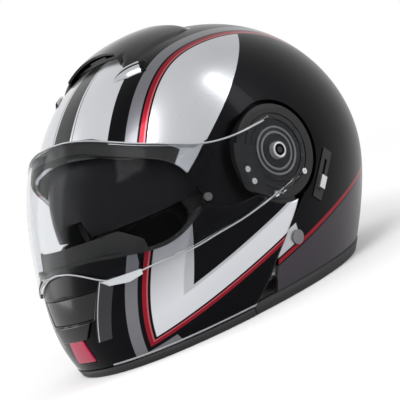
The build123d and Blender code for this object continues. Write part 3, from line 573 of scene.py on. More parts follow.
frontLine = scaled([(0.728, 0.344), (0.650, 0.256), (0.567, 0.200), (0.511, 0.144), (0.478, 0.067),
                    (0.461, -0.033), (0.422, -0.189), (0.322, -0.344), (0.200, -0.456)])
partingLine = scaled([(0.200, -0.456), (0.278, -0.539), (0.350, -0.606), (0.394, -0.640), (0.406, -0.720)])
recessLine = scaled([(0.620, 0.160), (0.372, 0.183), (0.289, 0.189), (0.194, 0.222), (0.089, 0.236),
                     (-0.050, 0.220), (-0.217, -0.128), (-0.128, -0.206), (-0.028, -0.272), (0.078, -0.344),
                     (0.144, -0.406), (0.200, -0.456), (0.350, -0.606), (0.620, -0.500)])
crownShell = dict(bottom=-112.0, rear=-400.0, heelSlope=0.12, floor=115.0, hole=6.3, recess=46.0, wall=3.4,
                  edge=0.7, step=1.25, corner=(36, -82), wellRows=14, rows=44)


def rayHits(phi, line, closed=False):
    # distances along a ray from the pivot to a polyline
    d = np.array([math.cos(math.radians(phi)), math.sin(math.radians(phi))])
    points = np.array(line + ([line[0]] if closed else []), float)
    hits = []
    for a, b in zip(points[:-1], points[1:]):
        e = b - a
        cross = d[0] * e[1] - d[1] * e[0]
        if abs(cross) < 1e-9:
            continue
        t = (a[0] * e[1] - a[1] * e[0]) / cross
        s = (a[0] * d[1] - a[1] * d[0]) / cross
        if t > 0 and -1e-9 <= s <= 1 + 1e-9:
            hits.append(t)
    return hits


def crownMesh():
    c = crownShell
    line = [tuple(p) for p in smoothLine(frontLine, 90)]
    lower = [tuple(p) for p in smoothLine(partingLine, 40) if p[1] > c["bottom"]]
    foot = lower[-1][0] + (lower[-1][1] - c["bottom"]) * c["heelSlope"]
    edge = line + lower[1:] + [(foot, c["bottom"]), (c["rear"], c["bottom"])]
    angles = list(np.arange(-180, 180, c["step"]))
    # the corners of the outlines get a ray of their own
    corners = [line[0], (foot, c["bottom"]), c["corner"]] + recessLine[5:11]
    angles = sorted(angles + [math.degrees(math.atan2(u, f)) for f, u in corners])
    points, rows = [], 0
    for phi in angles:
        middle = float(crownForm.radiusAt(phi))
        hits = rayHits(phi, edge)
        out = min([middle] + hits)
        sunk = max([c["recess"]] + rayHits(phi, recessLine, True))
        sunk = min(sunk, out)
        ray = np.array([math.cos(math.radians(phi)), math.sin(math.radians(phi))])
        column = []
        for rho in np.linspace(c["hole"], sunk, c["wellRows"]):
            f, u = rho * ray
            column.append((f, u, min(c["floor"], float(crownForm.aside(f, u)))))
        first = float(crownForm.turnAt(*(sunk * ray)))
        last = 0.0 if out >= middle - 1e-6 else float(crownForm.turnAt(*(out * ray)))
        for turn in np.linspace(first, last, c["rows"]):
            column.append(tuple(crownForm.at(phi, turn)))
        points.append(column)
        rows = len(column)
    points.append(points[0])
    return np.array(points), gridFaces(len(points), rows)


points, faces = crownMesh()
crown = makeMesh("crownShell", points, faces, mirror=True, flip=(0, 0.01, 0.13))
thicken(crown, crownShell["wall"])
roundEdges(crown, crownShell["edge"], 2, 40)
baked(crown)
dress(crown, "shell", crownSkin, ["crown_shell"])
print("crown shell made")

chinBar = dict(hole=46.0, holeArc=(-35.97, -93.1), bottom=-115.0, heel=72.3, gap=1.2, wall=2.0, crest=-6.9)


def chinMesh():
    hole = np.radians(np.linspace(*chinBar["holeArc"], 30))
    rear = np.stack([chinBar["hole"] * np.cos(hole), chinBar["hole"] * np.sin(hole)], 1)
    topPoints = [tuple(rear[0])] + scaled([(0.289, -0.150), (0.400, -0.125), (0.500, -0.085), (0.575, -0.132),
                                           (0.680, -0.167), (0.817, -0.150), (0.925, -0.115)])
    crest = chinBar["crest"]
    tip = chinForm.at(crest, 0.0)
    topPoints.append((tip[0], tip[1]))
    parting = scaled([(0.006, -0.280), (0.078, -0.344), (0.144, -0.406), (0.200, -0.456), (0.278, -0.539),
                      (0.350, -0.606)])
    end = (chinBar["heel"], chinBar["bottom"])
    heel = [tuple(rear[-1])] + [(f + chinBar["gap"], u) for f, u in parting] + [end]
    first = chinForm.chart(smoothLine(heel, 40))
    startTurn = float(chinForm.turnAt(*end))
    foot = []
    for turn in np.linspace(startTurn, 0, 71)[1:]:
        low, high = -85.0, -15.0
        for _ in range(40):
            mid = (low + high) / 2
            u = float(chinForm.rho(mid, turn)) * math.sin(math.radians(mid))
            low, high = (mid, high) if u < chinBar["bottom"] else (low, mid)
        foot.append(((90 - turn) * math.cos(math.radians(mid)), (90 - turn) * math.sin(math.radians(mid))))
    bottom = np.concatenate([first, np.array(foot)])
    bottom = np.c_[bottom, np.zeros(len(bottom))]
    top = smoothLine(topPoints, len(bottom))
    front = middleLine(chinForm, crest, mid, 30)
    across = np.linspace(0, 1, 34)
    return chinForm.fromChart(patch(chinForm, rear, front, top, bottom, across))


def frontPatch(form, outline, grow, columns=25, rows=13):
    # a plate on the front, as wide at each height as its outline
    high, upperHalf, low, lowerHalf = outline
    place = form.grown(grow)
    side, down = np.linspace(-1, 1, columns), np.linspace(0, 1, rows)
    grid = []
    for v in down:
        x = (upperHalf + (lowerHalf - upperHalf) * v) * side
        u = (high + (low - high) * v) + 0 * x
        grid.append(np.stack([place.aheadAt(x, u), u, x], 1))
    return np.array(grid), gridFaces(rows, columns)


def cutter(name, outline, grow):
    # a block through the front of the chin bar, larger than the outline all round
    high, upperHalf, low, lowerHalf = outline
    left = [(upperHalf + grow, high + grow), (lowerHalf + grow, low - grow)]
    ring = left + [(-x, u) for x, u in reversed(left)]
    points = [(f, u, x) for f in (120.0, 220.0) for x, u in ring]
    faces = [(0, 1, 2, 3), (7, 6, 5, 4)] + [(i, (i + 1) % 4, 4 + (i + 1) % 4, 4 + i) for i in range(4)]
    return makeMesh(name, points, faces)


# upper edge and half its width, lower edge and half its width
ventOutline = (-48.2, 43.2, -69.5, 32.0)
scoopOutline = (-71.1, 29.7, -84.6, 18.9)
buttonOutline = (-84.6, 11.2, -105.8, 14.0)

grid = chinMesh()
chin = makeMesh("chinBarShell", grid, gridFaces(*grid.shape[:2]), mirror=True, flip=(0, -0.05, 0.06))
thicken(chin, chinBar["wall"])
baked(chin)
for name, outline in (("ventHole", ventOutline), ("buttonHole", buttonOutline)):
    hole = cutter(name, outline, 0.6)
    tool = chin.modifiers.new("hole", "BOOLEAN")
    tool.object, tool.operation, tool.solver = hole, "DIFFERENCE", "EXACT"
    baked(chin)
    bpy.data.objects.remove(hole)
dress(chin, "chin_bar", chinSkin, ["chin_bar_shell"])
print("chin bar made")

chinVent = dict(inset=0.3, depth=2.4, edge=0.5)
scoopPlate = dict(proud=2.4, wall=2.1, edge=0.9)
buttonBlock = dict(proud=1.4, depth=5.6, edge=1.0)
grid, faces = frontPatch(chinForm, ventOutline, -chinVent["inset"])
vent = makeMesh("chinVentShutter", grid, faces, flip=(0, 0, 0.06))
baked(thicken(vent, chinVent["depth"], chinVent["edge"]))
dress(vent, "vent_shutter", glossBlack, ["chin_vent_shutter"])

grid, faces = frontPatch(chinForm, scoopOutline, scoopPlate["proud"])
scoop = makeMesh("chinScoop", grid, faces, flip=(0, 0, 0.06))
baked(thicken(scoop, scoopPlate["wall"], scoopPlate["edge"], 3))
dress(scoop, "chin_bar", glossBlack, ["chin_scoop"])

grid, faces = frontPatch(chinForm, buttonOutline, buttonBlock["proud"])
button = makeMesh("releaseButton", grid, faces, flip=(0, 0, 0.06))
baked(thicken(button, buttonBlock["depth"], buttonBlock["edge"], 3))
dress(button, "release_button", redGloss, ["release_button"])
print("chin bar fittings made")

visorLens = dict(wall=2.2, bead=0.8, edge=0.75, ear=29.0, middle=(30.9, -8.6))


def visorMesh():
    form = visorForm.grown(visorLens["wall"])
    ear = np.radians(np.linspace(90, 270, 41))
    rear = visorLens["ear"] * np.stack([np.cos(ear), np.sin(ear)], 1)
    top = scaled([(0.000, 0.161), (0.120, 0.155), (0.233, 0.156), (0.378, 0.183), (0.494, 0.239),
                  (0.611, 0.311), (0.672, 0.367)])
    high, low = visorLens["middle"]
    top.append(tuple(form.at(high, 0.0)[:2]))
    bottom = scaled([(0.000, -0.161), (0.217, -0.200), (0.361, -0.222), (0.494, -0.235), (0.622, -0.250),
                     (0.750, -0.248), (0.844, -0.255), (0.917, -0.250), (0.955, -0.211)])
    bottom.append(tuple(form.at(low, 0.0)[:2]))
    fine = [0, 0.008, 0.018, 0.03, 0.045, 0.06, 0.08]   # close rows carry the bead along each edge
    across = np.array(fine + list(np.linspace(0.11, 0.89, 24)) + [1 - v for v in reversed(fine)])
    front = middleLine(form, high, low, 41)
    flat = patch(form, rear, front, smoothLine(top, 110), smoothLine(bottom, 110), across)
    grid = form.fromChart(flat)
    raised = form.grown(visorLens["bead"]).fromChart(flat)
    for column in (2, 3, -3, -4):
        grid[:, column] = raised[:, column]
    return grid


grid = visorMesh()
lens = makeMesh("visorLens", grid, gridFaces(*grid.shape[:2]), mirror=True, flip=(0, 0.0, 0.12))
baked(thicken(lens, visorLens["wall"]))
dress(lens, "visor", clearLens, ["visor"])


def tubeMesh(name, line, radius, sides=10):
    # a thin round tube along a line that ends on the middle plane
    line = np.asarray(line, float)
    step = np.gradient(line, axis=0)
    step /= np.linalg.norm(step, axis=1)[:, None]
    step[-1] = (0, 0, -1)
    out = line - (line * step).sum(1)[:, None] * step
    out /= np.linalg.norm(out, axis=1)[:, None]
    side = np.cross(step, out)
    turn = np.linspace(0, 2 * math.pi, sides, endpoint=False)[None, :, None]
    rows = line[:, None] + radius * (np.cos(turn) * out[:, None] + np.sin(turn) * side[:, None])
    rows[-1, :, 2] = 0.0
    faces = gridFaces(len(line), sides, close=True) + [tuple(range(sides))]
    return makeMesh(name, rows, faces, mirror=True)


# pale grey tubes on the visor's top and bottom edges: painted highlights for the bright lines at the lens
# edges
for name, column, first in (("visorTopEdge", 1, 3), ("visorBottomEdge", -2, 7)):
    edgeHighlightTube = tubeMesh(name, grid[first:, column], visorLens["edge"])
    dress(edgeHighlightTube, "visor", visorEdgeHighlight)
print("visor made")

rims = dict(corner=2.0, proud=0.8, inside=7.0, ahead=220.0, behind=-190.0)


def rimMesh(name, form, start, front, high):
    # edge rubber of a rounded box section along the lower rim
    proud, inside, low = rims["proud"], rims["inside"], 0.0
    r = rims["corner"]
    profile = []
    for a in np.linspace(-90, 0, 5):
        profile.append((proud - r + r * math.cos(math.radians(a)), low + r + r * math.sin(math.radians(a))))
    profile += [(proud, high), (-inside, high)]
    for a in np.linspace(180, 270, 5):
        profile.append((-inside + r + r * math.cos(math.radians(a)), low + r + r * math.sin(math.radians(a))))
    rows = []
    steps = np.linspace(0, 1, 70)
    for depth, height in profile:
        place = form.grown(depth)
        u = height - pivotHeight
        inner, outer = start, (rims["ahead"] if front else rims["behind"])
        for _ in range(50):
            mid = (inner + outer) / 2
            rho, phi = place.polar(mid, u)
            within = rho < place.radiusAt(phi) + place.grow
            inner, outer = (mid, outer) if within else (inner, mid)
        f = inner - (inner - start) * (1 - np.sin(steps * math.pi / 2))
        x = place.aside(f, np.full_like(f, u))
        x[-1] = 0.0
        rows.append(np.stack([f, np.full_like(f, u), x], 1))
    grid = np.array(rows).transpose(1, 0, 2)
    count = len(profile)
    faces = gridFaces(len(steps), count, close=True) + [tuple(range(count))]
    return makeMesh(name, grid, faces, mirror=True)


crownTrim = rimMesh("crownTrim", crownForm, start=71.0, front=False, high=10.0)
dress(crownTrim, "shell", rubberGrey, ["crown_trim"])
chinTrim = rimMesh("chinTrim", chinForm, start=72.4, front=True, high=7.0)
dress(chinTrim, "chin_bar", rubberGrey, ["chin_trim"])
print("rims made")

browCover = dict(wall=2.2, skirt=0.5, half=65.0, sideFrom=44.0, lift=1.2)
# the cover's plan, as distance aside, front edge and rear edge
browPlan = [(0, 50, -9), (32.4, 53, -12.8), (45, 58.5, -20), (52.2, 63, -22), (58, 60, -18), (64, 50, 5),
            (65, 35, 23)]


def browMesh():
    xs, fronts, rears = zip(*browPlan)
    side = browCover["half"] * np.sin(np.linspace(0, math.pi / 2, 46))
    grid = []
    for x in side:
        ahead, behind = np.interp(x, xs, fronts), np.interp(x, xs, rears)
        v = np.linspace(0, 1, 40)
        f = ahead + (behind - ahead) * v
        ground = crownForm.upAt(x, f)
        cover = np.maximum(browForm.upAt(x, f), ground + browCover["lift"])
        edge = np.minimum(v * 8, 1) if x > browCover["sideFrom"] else np.ones_like(v)
        edge = np.minimum(edge, np.minimum((1 - v) * 10, 1))
        edge = np.minimum(edge, min((browCover["half"] + 0.2 - x) / 7, 1))
        shape = 1 - (1 - np.clip(edge, 0, 1)) ** 2
        u = ground - browCover["skirt"] + (cover - ground + browCover["skirt"]) * shape
        grid.append(np.stack([f, u, 0 * f + x], 1))
    return np.array(grid)


grid = browMesh()
brow = makeMesh("browVentCover", grid, gridFaces(*grid.shape[:2]), mirror=True, flip=(0, 0, 0.12))
baked(thicken(brow, browCover["wall"], 0.6, 2, 50))
dress(brow, "shell", glossBlack, ["brow_vent_cover"])
print("brow vent made")

finShape = dict(height=4.3, foot=0.3, rings=8)


def finMesh(side):
    outline = np.array(scaled([(0.283, 0.425), (0.350, 0.392), (0.420, 0.325), (0.395, 0.275), (0.362, 0.300),
                               (0.300, 0.362)]))
    closed = np.concatenate([outline, outline[:1]])
    ring = np.concatenate([closed[i] + (closed[i + 1] - closed[i]) * np.linspace(0, 1, 9)[:-1, None]
                           for i in range(len(outline))])
    centre = ring.mean(0)
    grid = []
    for k, share in enumerate(np.linspace(1, 0.0, finShape["rings"])):
        p = centre + (ring - centre) * max(share, 0.001)
        lift = finShape["foot"] if k == 0 else finShape["height"] * (1 - share ** 3 * 0.45)
        u = crownForm.upAt(p[:, 0], p[:, 1]) + lift
        grid.append(np.stack([p[:, 1], u, side * p[:, 0]], 1))
    base = grid[0].copy()
    base[:, 1] -= 0.1
    centreUp = float(crownForm.upAt(centre[0], centre[1])) + 0.2
    last = np.repeat([[centre[1], centreUp, side * centre[0]]], len(ring), 0)
    grid = [last, base] + grid
    return np.array(grid)


def finMaterial():
    kit = Kit("finPaint")
    c = paintColours
    across = (kit.aside + kit.forward) * 0.707
    along = (kit.aside - kit.forward) * 0.707
    colour = kit.blend(kit.band(across, 88.4, 90.2), c["silver"], c["black"])
    colour = kit.blend(kit.rise(along, 8.0), colour, c["black"])
    return metallicPaint(kit, colour, 0.8)


finSkin = finMaterial()
for side, word in ((1, "left"), (-1, "right")):
    grid = finMesh(side)
    fin = makeMesh("browFin" + word.capitalize(), grid, gridFaces(*grid.shape[:2], close=True))
    dress(fin, "shell", finSkin, ["brow_fin_" + word])


def latheMesh(name, side, profile, steps=72):
    # profile points are (aside, radius) from the middle outwards
    turn = np.linspace(0, 2 * math.pi, steps, endpoint=False)
    rows = [np.stack([r * np.cos(turn), r * np.sin(turn), 0 * turn + side * x], 1) for x, r in profile]
    faces = gridFaces(len(rows), steps, close=True)
    faces += [tuple(range(steps)), tuple((len(rows) - 1) * steps + i for i in range(steps))]
    return makeMesh(name, np.array(rows), faces)


hubCover = dict(rings=[20.9, 16.3], ring=0.95, groove=1.25, top=127.3, foot=125.65, radius=22.0,
                outside=131.37)
# the screw cap in the middle, as depths in from the outermost point and radii
hubCap = [(1.27, 5.0), (1.27, 7.2), (1.02, 7.5), (0.42, 7.5), (0.07, 7.1), (0.07, 5.3), (0.62, 5.0),
          (0.62, 4.4), (0.27, 4.0), (0.07, 2.6), (0.0, 0.4)]
hubRing = [(131.25, 5.3), (131.38, 5.5), (131.38, 6.3), (131.25, 6.5)]


def hubProfile():
    # rounded ridges, a shallow dish and the cap, as (aside, radius) from the rim to the middle
    top, floor = hubCover["top"], hubCover["top"] - hubCover["groove"]
    points = [(hubCover["foot"], hubCover["radius"]), (top - 0.8, hubCover["radius"])]
    for radius in hubCover["rings"]:
        for turn in (20, 60, 90, 120, 160):
            a = math.radians(turn)
            points.append((floor + (top - floor) * math.sin(a), radius + hubCover["ring"] * math.cos(a)))
        points.append((floor, radius - 1.15))
    points += [(floor, 14.2), (floor + 0.5, 10.0), (floor, 7.2), (top - 0.2, 6.8), (top - 0.2, 5.2)]
    return points + [(hubCover["outside"] - depth, radius) for depth, radius in hubCap]


for side, word in ((1, "left"), (-1, "right")):
    hub = latheMesh("hubCover" + word.capitalize(), side, hubProfile())
    dress(hub, "chin_bar", ringSkin, ["hub_cover_" + word])
    ring = latheMesh("hubRing" + word.capitalize(), side, hubRing)
    dress(ring, "chin_bar", steel)
print("hubs made")

# what the unchanged CAD pieces are made of; a name without a side stands for both sides
finishes = {
    "crown_liner": foamBlack, "chin_bar_liner": foamBlack, "brow_seal": rubberBlack, "chin_seal": rubberBlack,
    "breath_guard": rubberBlack, "brow_vent_shutter": matteBlack, "rear_spoiler": glossBlack,
    "neck_outlet": matteBlack, "buckle_housing": matteBlack, "ratchet_tongue": matteBlack,
    "buckle_lever": redGloss, "buckle_pin": steel, "slider_track": matteBlack, "sun_visor_slider": steel,
    "sun_visor_pins": matteBlack, "hook_pins": steel, "pinlock_pins": darkSteel, "visor_tab": clearTab,
    "sun_visor": smokedLens,
}
pairedFinishes = {
    "pivot_pin": steel, "striker": steel, "strap_rivet": rivetSteel, "release_link": steel,
    "arm_plate": satinBlack, "base_plate": satinBlack, "plate_screws": steel, "latch_hook": steel,
}
for name, material in pairedFinishes.items():
    finishes[name + "_left"] = finishes[name + "_right"] = material
for name, material in finishes.items():
    data = nodes[name].data
    data.materials.clear()
    data.materials.append(material)

strap = dict(width=22.0, thickness=1.8, forward=12.0, rivet=109.0, loose=17.8, seam=8.6)
routeShares = [(-0.380, 0.000), (-0.465, 0.000), (-0.515, -0.024), (-0.538, -0.085), (-0.546, -0.185),
               (-0.549, -0.310), (-0.550, -0.436)]
strapRoute = [(strap["rivet"] + inward * reach, up * reach) for up, inward in routeShares]


def strapMesh(side, more=0.0):
    line = smoothLine(strapRoute, 60)
    if more:
        line = np.concatenate([line, [line[-1] - (more, 0)]])
    step = np.gradient(line, axis=0)
    step /= np.linalg.norm(step, axis=1)[:, None]
    normal = np.stack([-step[:, 1], step[:, 0]], 1)
    t, w = strap["thickness"] / 2, strap["width"] / 2
    ring = [(-w, -t * 0.6), (-w + 0.6, -t), (w - 0.6, -t), (w, -t * 0.6), (w, t * 0.6), (w - 0.6, t),
            (-w + 0.6, t), (-w, t * 0.6)]
    grid = []
    for along, off in ring:
        p = line + normal * off
        grid.append(np.stack([0 * p[:, 0] + strap["forward"] + along, p[:, 1], side * p[:, 0]], 1))
    grid = np.array(grid).transpose(1, 0, 2)
    n = len(ring)
    last = (len(line) - 1) * n
    faces = gridFaces(len(line), n, close=True) + [tuple(range(n)), tuple(last + i for i in range(n))]
    return grid, faces


for side, word, more in ((1, "left", 0.0), (-1, "right", strap["loose"])):
    grid, faces = strapMesh(side, more)
    piece = makeMesh("chinStrap" + word.capitalize(), grid, faces)
    dress(piece, "shell", webbing, ["chin_strap_" + word])

pads = {
    "crown_pad": dict(name="crownPad", voxel=5.0, swell=2.5, material=lining, slot="pad_fabric"),
    "cheek_pad_left": dict(name="cheekPadLeft", voxel=4.0, swell=3.0, material=lining, slot="pad_fabric"),
    "cheek_pad_right": dict(name="cheekPadRight", voxel=4.0, swell=3.0, material=lining, slot="pad_fabric"),
    "neck_roll": dict(name="neckRoll", voxel=4.0, swell=2.5, material=neckLeather, slot="neck_leather"),
}
swelling = dict(pressure=4.0, quality=4, frames=12, room=0.001)


def padMesh(node, settings):
    # a CAD pad remeshed, smoothed and blown up a little by a cloth simulation
    piece = newObject(settings["name"], nodes[node].data.copy())
    tool = bmesh.new()
    tool.from_mesh(piece.data)
    bmesh.ops.remove_doubles(tool, verts=tool.verts, dist=0.00002)
    tool.to_mesh(piece.data)
    tool.free()
    remesh = piece.modifiers.new("remesh", "REMESH")
    remesh.mode, remesh.voxel_size = "VOXEL", settings["voxel"] * mm
    soft = piece.modifiers.new("soft", "SMOOTH")
    soft.factor, soft.iterations = 0.5, 6
    baked(piece)
    start = np.array([v.co for v in piece.data.vertices])
    cloth = piece.modifiers.new("swell", "CLOTH")
    cloth.settings.use_pressure = True
    cloth.settings.uniform_pressure_force = swelling["pressure"]
    cloth.settings.effector_weights.gravity = 0.0
    cloth.settings.quality = swelling["quality"]
    cloth.collision_settings.use_collision = False
    for step in range(1, swelling["frames"] + 1):
        bpy.context.scene.frame_set(step)
    baked(piece)
    bpy.context.scene.frame_set(1)
    end = np.array([v.co for v in piece.data.vertices])
    move = end - start
    size = np.linalg.norm(move, axis=1)
    limit = settings["swell"] * mm
    end = start + move * np.minimum(1, limit / np.maximum(size, 1e-9))[:, None]
    low, high = [np.array(v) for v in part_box(node)]
    end = np.clip(end, low - swelling["room"], high + swelling["room"])
    for vertex, place in zip(piece.data.vertices, end):
        vertex.co = place
    for face in piece.data.polygons:
        face.use_smooth = True
    return piece


thread = plainMaterial("thread", (0.16, 0.16, 0.17), 0.8)
stitch = dict(spacing=3.4, length=2.4, thread=0.35)


def stitchTree():
    # one short thread on each point along a curve
    tree = bpy.data.node_groups.new("stitchRow", "GeometryNodeTree")
    face = tree.interface
    face.new_socket("Curve", in_out="INPUT", socket_type="NodeSocketGeometry")
    for word in ("Spacing", "Length", "Thread"):
        face.new_socket(word, in_out="INPUT", socket_type="NodeSocketFloat")
    face.new_socket("Material", in_out="INPUT", socket_type="NodeSocketMaterial")
    face.new_socket("Stitches", in_out="OUTPUT", socket_type="NodeSocketGeometry")
    start, end = tree.nodes.new("NodeGroupInput"), tree.nodes.new("NodeGroupOutput")
    walk = tree.nodes.new("GeometryNodeResampleCurve")
    walk.mode = "LENGTH"
    tangent = tree.nodes.new("GeometryNodeInputTangent")
    turn = tree.nodes.new("FunctionNodeAlignRotationToVector")
    turn.axis = "Z"
    rod = tree.nodes.new("GeometryNodeMeshCylinder")
    rod.inputs["Vertices"].default_value = 8
    place = tree.nodes.new("GeometryNodeInstanceOnPoints")
    real = tree.nodes.new("GeometryNodeRealizeInstances")
    skin = tree.nodes.new("GeometryNodeSetMaterial")
    for output, target in ((start.outputs["Curve"], walk.inputs["Curve"]),
                           (start.outputs["Spacing"], walk.inputs["Length"]),
                           (start.outputs["Thread"], rod.inputs["Radius"]),
                           (start.outputs["Length"], rod.inputs["Depth"]),
                           (tangent.outputs[0], turn.inputs["Vector"]),
                           (walk.outputs[0], place.inputs["Points"]),
                           (rod.outputs["Mesh"], place.inputs["Instance"]),
                           (turn.outputs[0], place.inputs["Rotation"]),
                           (place.outputs[0], real.inputs[0]),
                           (real.outputs[0], skin.inputs["Geometry"]),
                           (start.outputs["Material"], skin.inputs["Material"]),
                           (skin.outputs[0], end.inputs[0])):
        tree.links.new(output, target)
    return tree


stitchNodes = stitchTree()


def sewRows(name, rows, body):
    # rows of points in metres become one mesh of stitches
    curve = bpy.data.curves.new(name, "CURVE")
    curve.dimensions = "3D"
    for row in rows:
        if len(row) < 2:
            continue
        spline = curve.splines.new("POLY")
        spline.points.add(len(row) - 1)
        for point, place in zip(spline.points, row):
            point.co = (*place, 1)
    path = newObject(name + "Path", curve)
    tool = path.modifiers.new("stitches", "NODES")
    tool.node_group = stitchNodes
    values = dict(Spacing=stitch["spacing"] * mm, Length=stitch["length"] * mm, Thread=stitch["thread"] * mm,
                  Material=thread)
    for socket in stitchNodes.interface.items_tree:
        if socket.in_out == "INPUT" and socket.name in values:
            tool[socket.identifier] = values[socket.name]
    mesh = bpy.data.meshes.new_from_object(path.evaluated_get(bpy.context.evaluated_depsgraph_get()))
    bpy.data.objects.remove(path)
    piece = newObject(name, mesh)
    return dress(piece, body, thread)


def seamPoints(tree, eye, aims):
    # where lines from an inner point meet the pad
    row = []
    for aim in aims:
        place, normal, index, away = tree.ray_cast(Vector(eye), Vector(aim).normalized())
        if place is not None:
            row.append(place)
    return row


def sewPad(piece, eye, rows, depth=1.6, reachOut=5.0):
    # presses channels into the pad's inner face and returns the lines for the stitches
    def tree():
        return BVHTree.FromPolygons([v.co.copy() for v in piece.data.vertices],
                                    [tuple(f.vertices) for f in piece.data.polygons])
    surface = tree()
    lines = [seamPoints(surface, eye, aims) for aims in rows]
    count = sum(len(line) for line in lines)
    near = KDTree(max(count, 1))
    i = 0
    for line in lines:
        for place in line:
            near.insert(place, i)
            i += 1
    near.balance()
    if count:
        for vertex in piece.data.vertices:
            place, index, away = near.find(vertex.co)
            share = away / (reachOut * mm)
            if share < 1:
                vertex.co += (vertex.co - Vector(eye)).normalized() * depth * mm * (1 - share * share) ** 2
    surface = tree()
    return [seamPoints(surface, eye, aims) for aims in rows]


def loopAims(side, eye, low, high, corner, count=160):
    # a rounded rectangle on a cheek pad, as directions from the eye point
    middle = [(a + b) / 2 for a, b in zip(low, high)]
    half = [(b - a) / 2 for a, b in zip(low, high)]
    aims = []
    for k in range(count + 1):
        t = 2 * math.pi * k / count
        y, z = [m + h * math.copysign(abs(v) ** corner, v)
                for m, h, v in zip(middle, half, (math.cos(t), math.sin(t)))]
        aims.append((side * 0.065, y - eye[1], z - eye[2]))
    return aims


crownEye, cheekEye, rollEye = (0.0, 0.008, 0.125), (0.0, -0.012, 0.062), (0.0, 0.02, 0.024)
sweep, across, around = [np.radians(np.arange(first, last, 1.0)) for first, last in
                         ((-80, 96), (-70, 71), (-125, 126))]
seams = {
    "crown_pad": (crownEye, [[(math.tan(math.radians(a)), math.sin(t), math.cos(t)) for t in sweep]
                             for a in (-24, 24)]
                  + [[(math.sin(t), math.tan(math.radians(a)), math.cos(t)) for t in across]
                     for a in (-18, 28)]),
    "cheek_pad_left": (cheekEye, [loopAims(1, cheekEye, (-0.052, 0.034), (0.026, 0.096), 0.45)]),
    "cheek_pad_right": (cheekEye, [loopAims(-1, cheekEye, (-0.052, 0.034), (0.026, 0.096), 0.45)]),
    "neck_roll": (rollEye, [[(math.sin(t), math.cos(t), 0.0) for t in around]]),
}
for node, settings in pads.items():
    piece = padMesh(node, settings)
    eye, rows = seams[node]
    lines = sewPad(piece, eye, rows)
    dress(piece, "shell", settings["material"], [node])
    sewRows(settings["name"] + "Stitches", lines, "shell")
print("pads made")

strapRows = []
for side in (1, -1):
    line = smoothLine(strapRoute, 50)[6:-4]
    step = np.gradient(line, axis=0)
    step /= np.linalg.norm(step, axis=1)[:, None]
    normal = np.stack([-step[:, 1], step[:, 0]], 1)
    for along in (-strap["seam"], strap["seam"]):
        for face in (-1, 1):
            p = line + normal * face * (strap["thickness"] / 2 + 0.05)
            y = (pivotBack - strap["forward"] - along) * mm
            strapRows.append([(side * x * mm, y, (pivotHeight + u) * mm) for x, u in p])
sewRows("strapStitches", strapRows, "shell")
print("sewing made")

curtain = newObject("chinCurtain", nodes["chin_curtain"].data.copy())
dress(curtain, "chin_bar", webbing, ["chin_curtain"])

stageSet = dict(floor=(0.93, 0.93, 0.935), size=12, clearFrom=0.75, soft=0.45)


def stageMaterial():
    # a white floor that keeps the shadow near the helmet and runs out to plain white
    kit = Kit("floorWhite")
    rays = kit.raw("ShaderNodeLightPath", {})
    seen = Term(kit, rays.outputs["Is Camera Ray"]).top(Term(kit, rays.outputs["Is Glossy Ray"]))
    seen = seen.top(Term(kit, rays.outputs["Is Transmission Ray"]))
    away = kit.node("ShaderNodeVectorMath", {"operation": "LENGTH"}, kit.place, out=1)
    far = kit.rise(away, stageSet["clearFrom"], stageSet["soft"])
    kit.set(Base_Color=kit.blend(far * seen, stageSet["floor"], (0.0, 0.0, 0.0)), Roughness=0.95,
            Emission_Color=kit.blend(far * seen, (0.0, 0.0, 0.0), (1.0, 1.0, 1.0)), Emission_Strength=1.0,
            Specular_IOR_Level=0.0)
    return kit.material


bpy.ops.mesh.primitive_plane_add(size=stageSet["size"])
floor = bpy.context.object
floor.name = "floor"
floor.data.materials.append(stageMaterial())

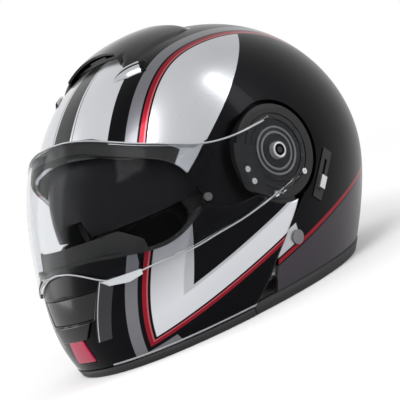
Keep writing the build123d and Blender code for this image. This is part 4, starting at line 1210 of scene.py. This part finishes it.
world = bpy.data.worlds.new("softWorld")
bpy.context.scene.world = world
world.use_nodes = True
tree = world.node_tree
background = tree.nodes["Background"]
light = tree.nodes.new("ShaderNodeLightPath")
sky = None
for word in ("Is Camera Ray", "Is Glossy Ray", "Is Transmission Ray"):
    more = tree.nodes.new("ShaderNodeMath")
    more.operation = "MAXIMUM"
    tree.links.new(light.outputs[word], more.inputs[0])
    if sky:
        tree.links.new(sky.outputs[0], more.inputs[1])
    sky = more
level = tree.nodes.new("ShaderNodeMapRange")
tree.links.new(sky.outputs[0], level.inputs[0])
level.inputs[3].default_value, level.inputs[4].default_value = 0.5, 1.0
tree.links.new(level.outputs[0], background.inputs["Strength"])
background.inputs["Color"].default_value = (1, 1, 1, 1)


def areaLamp(name, place, target, size, power):
    data = bpy.data.lights.new(name, "AREA")
    data.shape, data.size, data.size_y, data.energy = "RECTANGLE", size[0], size[1], power
    lamp = bpy.data.objects.new(name, data)
    bpy.context.scene.collection.objects.link(lamp)
    lamp.location = place
    lamp.rotation_euler = (Vector(target) - Vector(place)).to_track_quat("-Z", "Y").to_euler()
    return lamp


areaLamp("keyLamp", (0.9, -1.3, 1.6), (0, 0, 0.12), (0.9, 0.9), 22)
areaLamp("fillLamp", (-1.5, -0.9, 0.8), (0, 0, 0.12), (0.9, 1.2), 9)
areaLamp("rimLamp", (1.4, 1.0, 1.1), (0, 0, 0.12), (0.5, 1.2), 10)

camera = dict(azimuth=53.1, elevation=4.7, roll=-22.8, distance=1.254, lens=120.0,
              target=(0.0, 0.00724, 0.0999))


def placeCamera():
    az, el, roll = [math.radians(camera[key]) for key in ("azimuth", "elevation", "roll")]
    back = Vector((math.sin(az) * math.cos(el), -math.cos(az) * math.cos(el), math.sin(el)))
    right = Vector((math.cos(az), math.sin(az), 0))
    up = back.cross(right)
    right, up = right * math.cos(roll) + up * math.sin(roll), up * math.cos(roll) - right * math.sin(roll)
    data = bpy.data.cameras.new("photoCamera")
    data.lens, data.sensor_width = camera["lens"], 36.0
    thing = bpy.data.objects.new("photoCamera", data)
    bpy.context.scene.collection.objects.link(thing)
    place = Vector(camera["target"]) + back * camera["distance"]
    matrix = [[right[i], up[i], back[i], place[i]] for i in range(3)] + [[0, 0, 0, 1]]
    thing.matrix_world = Matrix(matrix)
    bpy.context.scene.camera = thing


placeCamera()
bpy.context.scene.view_settings.view_transform = "Standard"
bpy.context.view_layer.update()
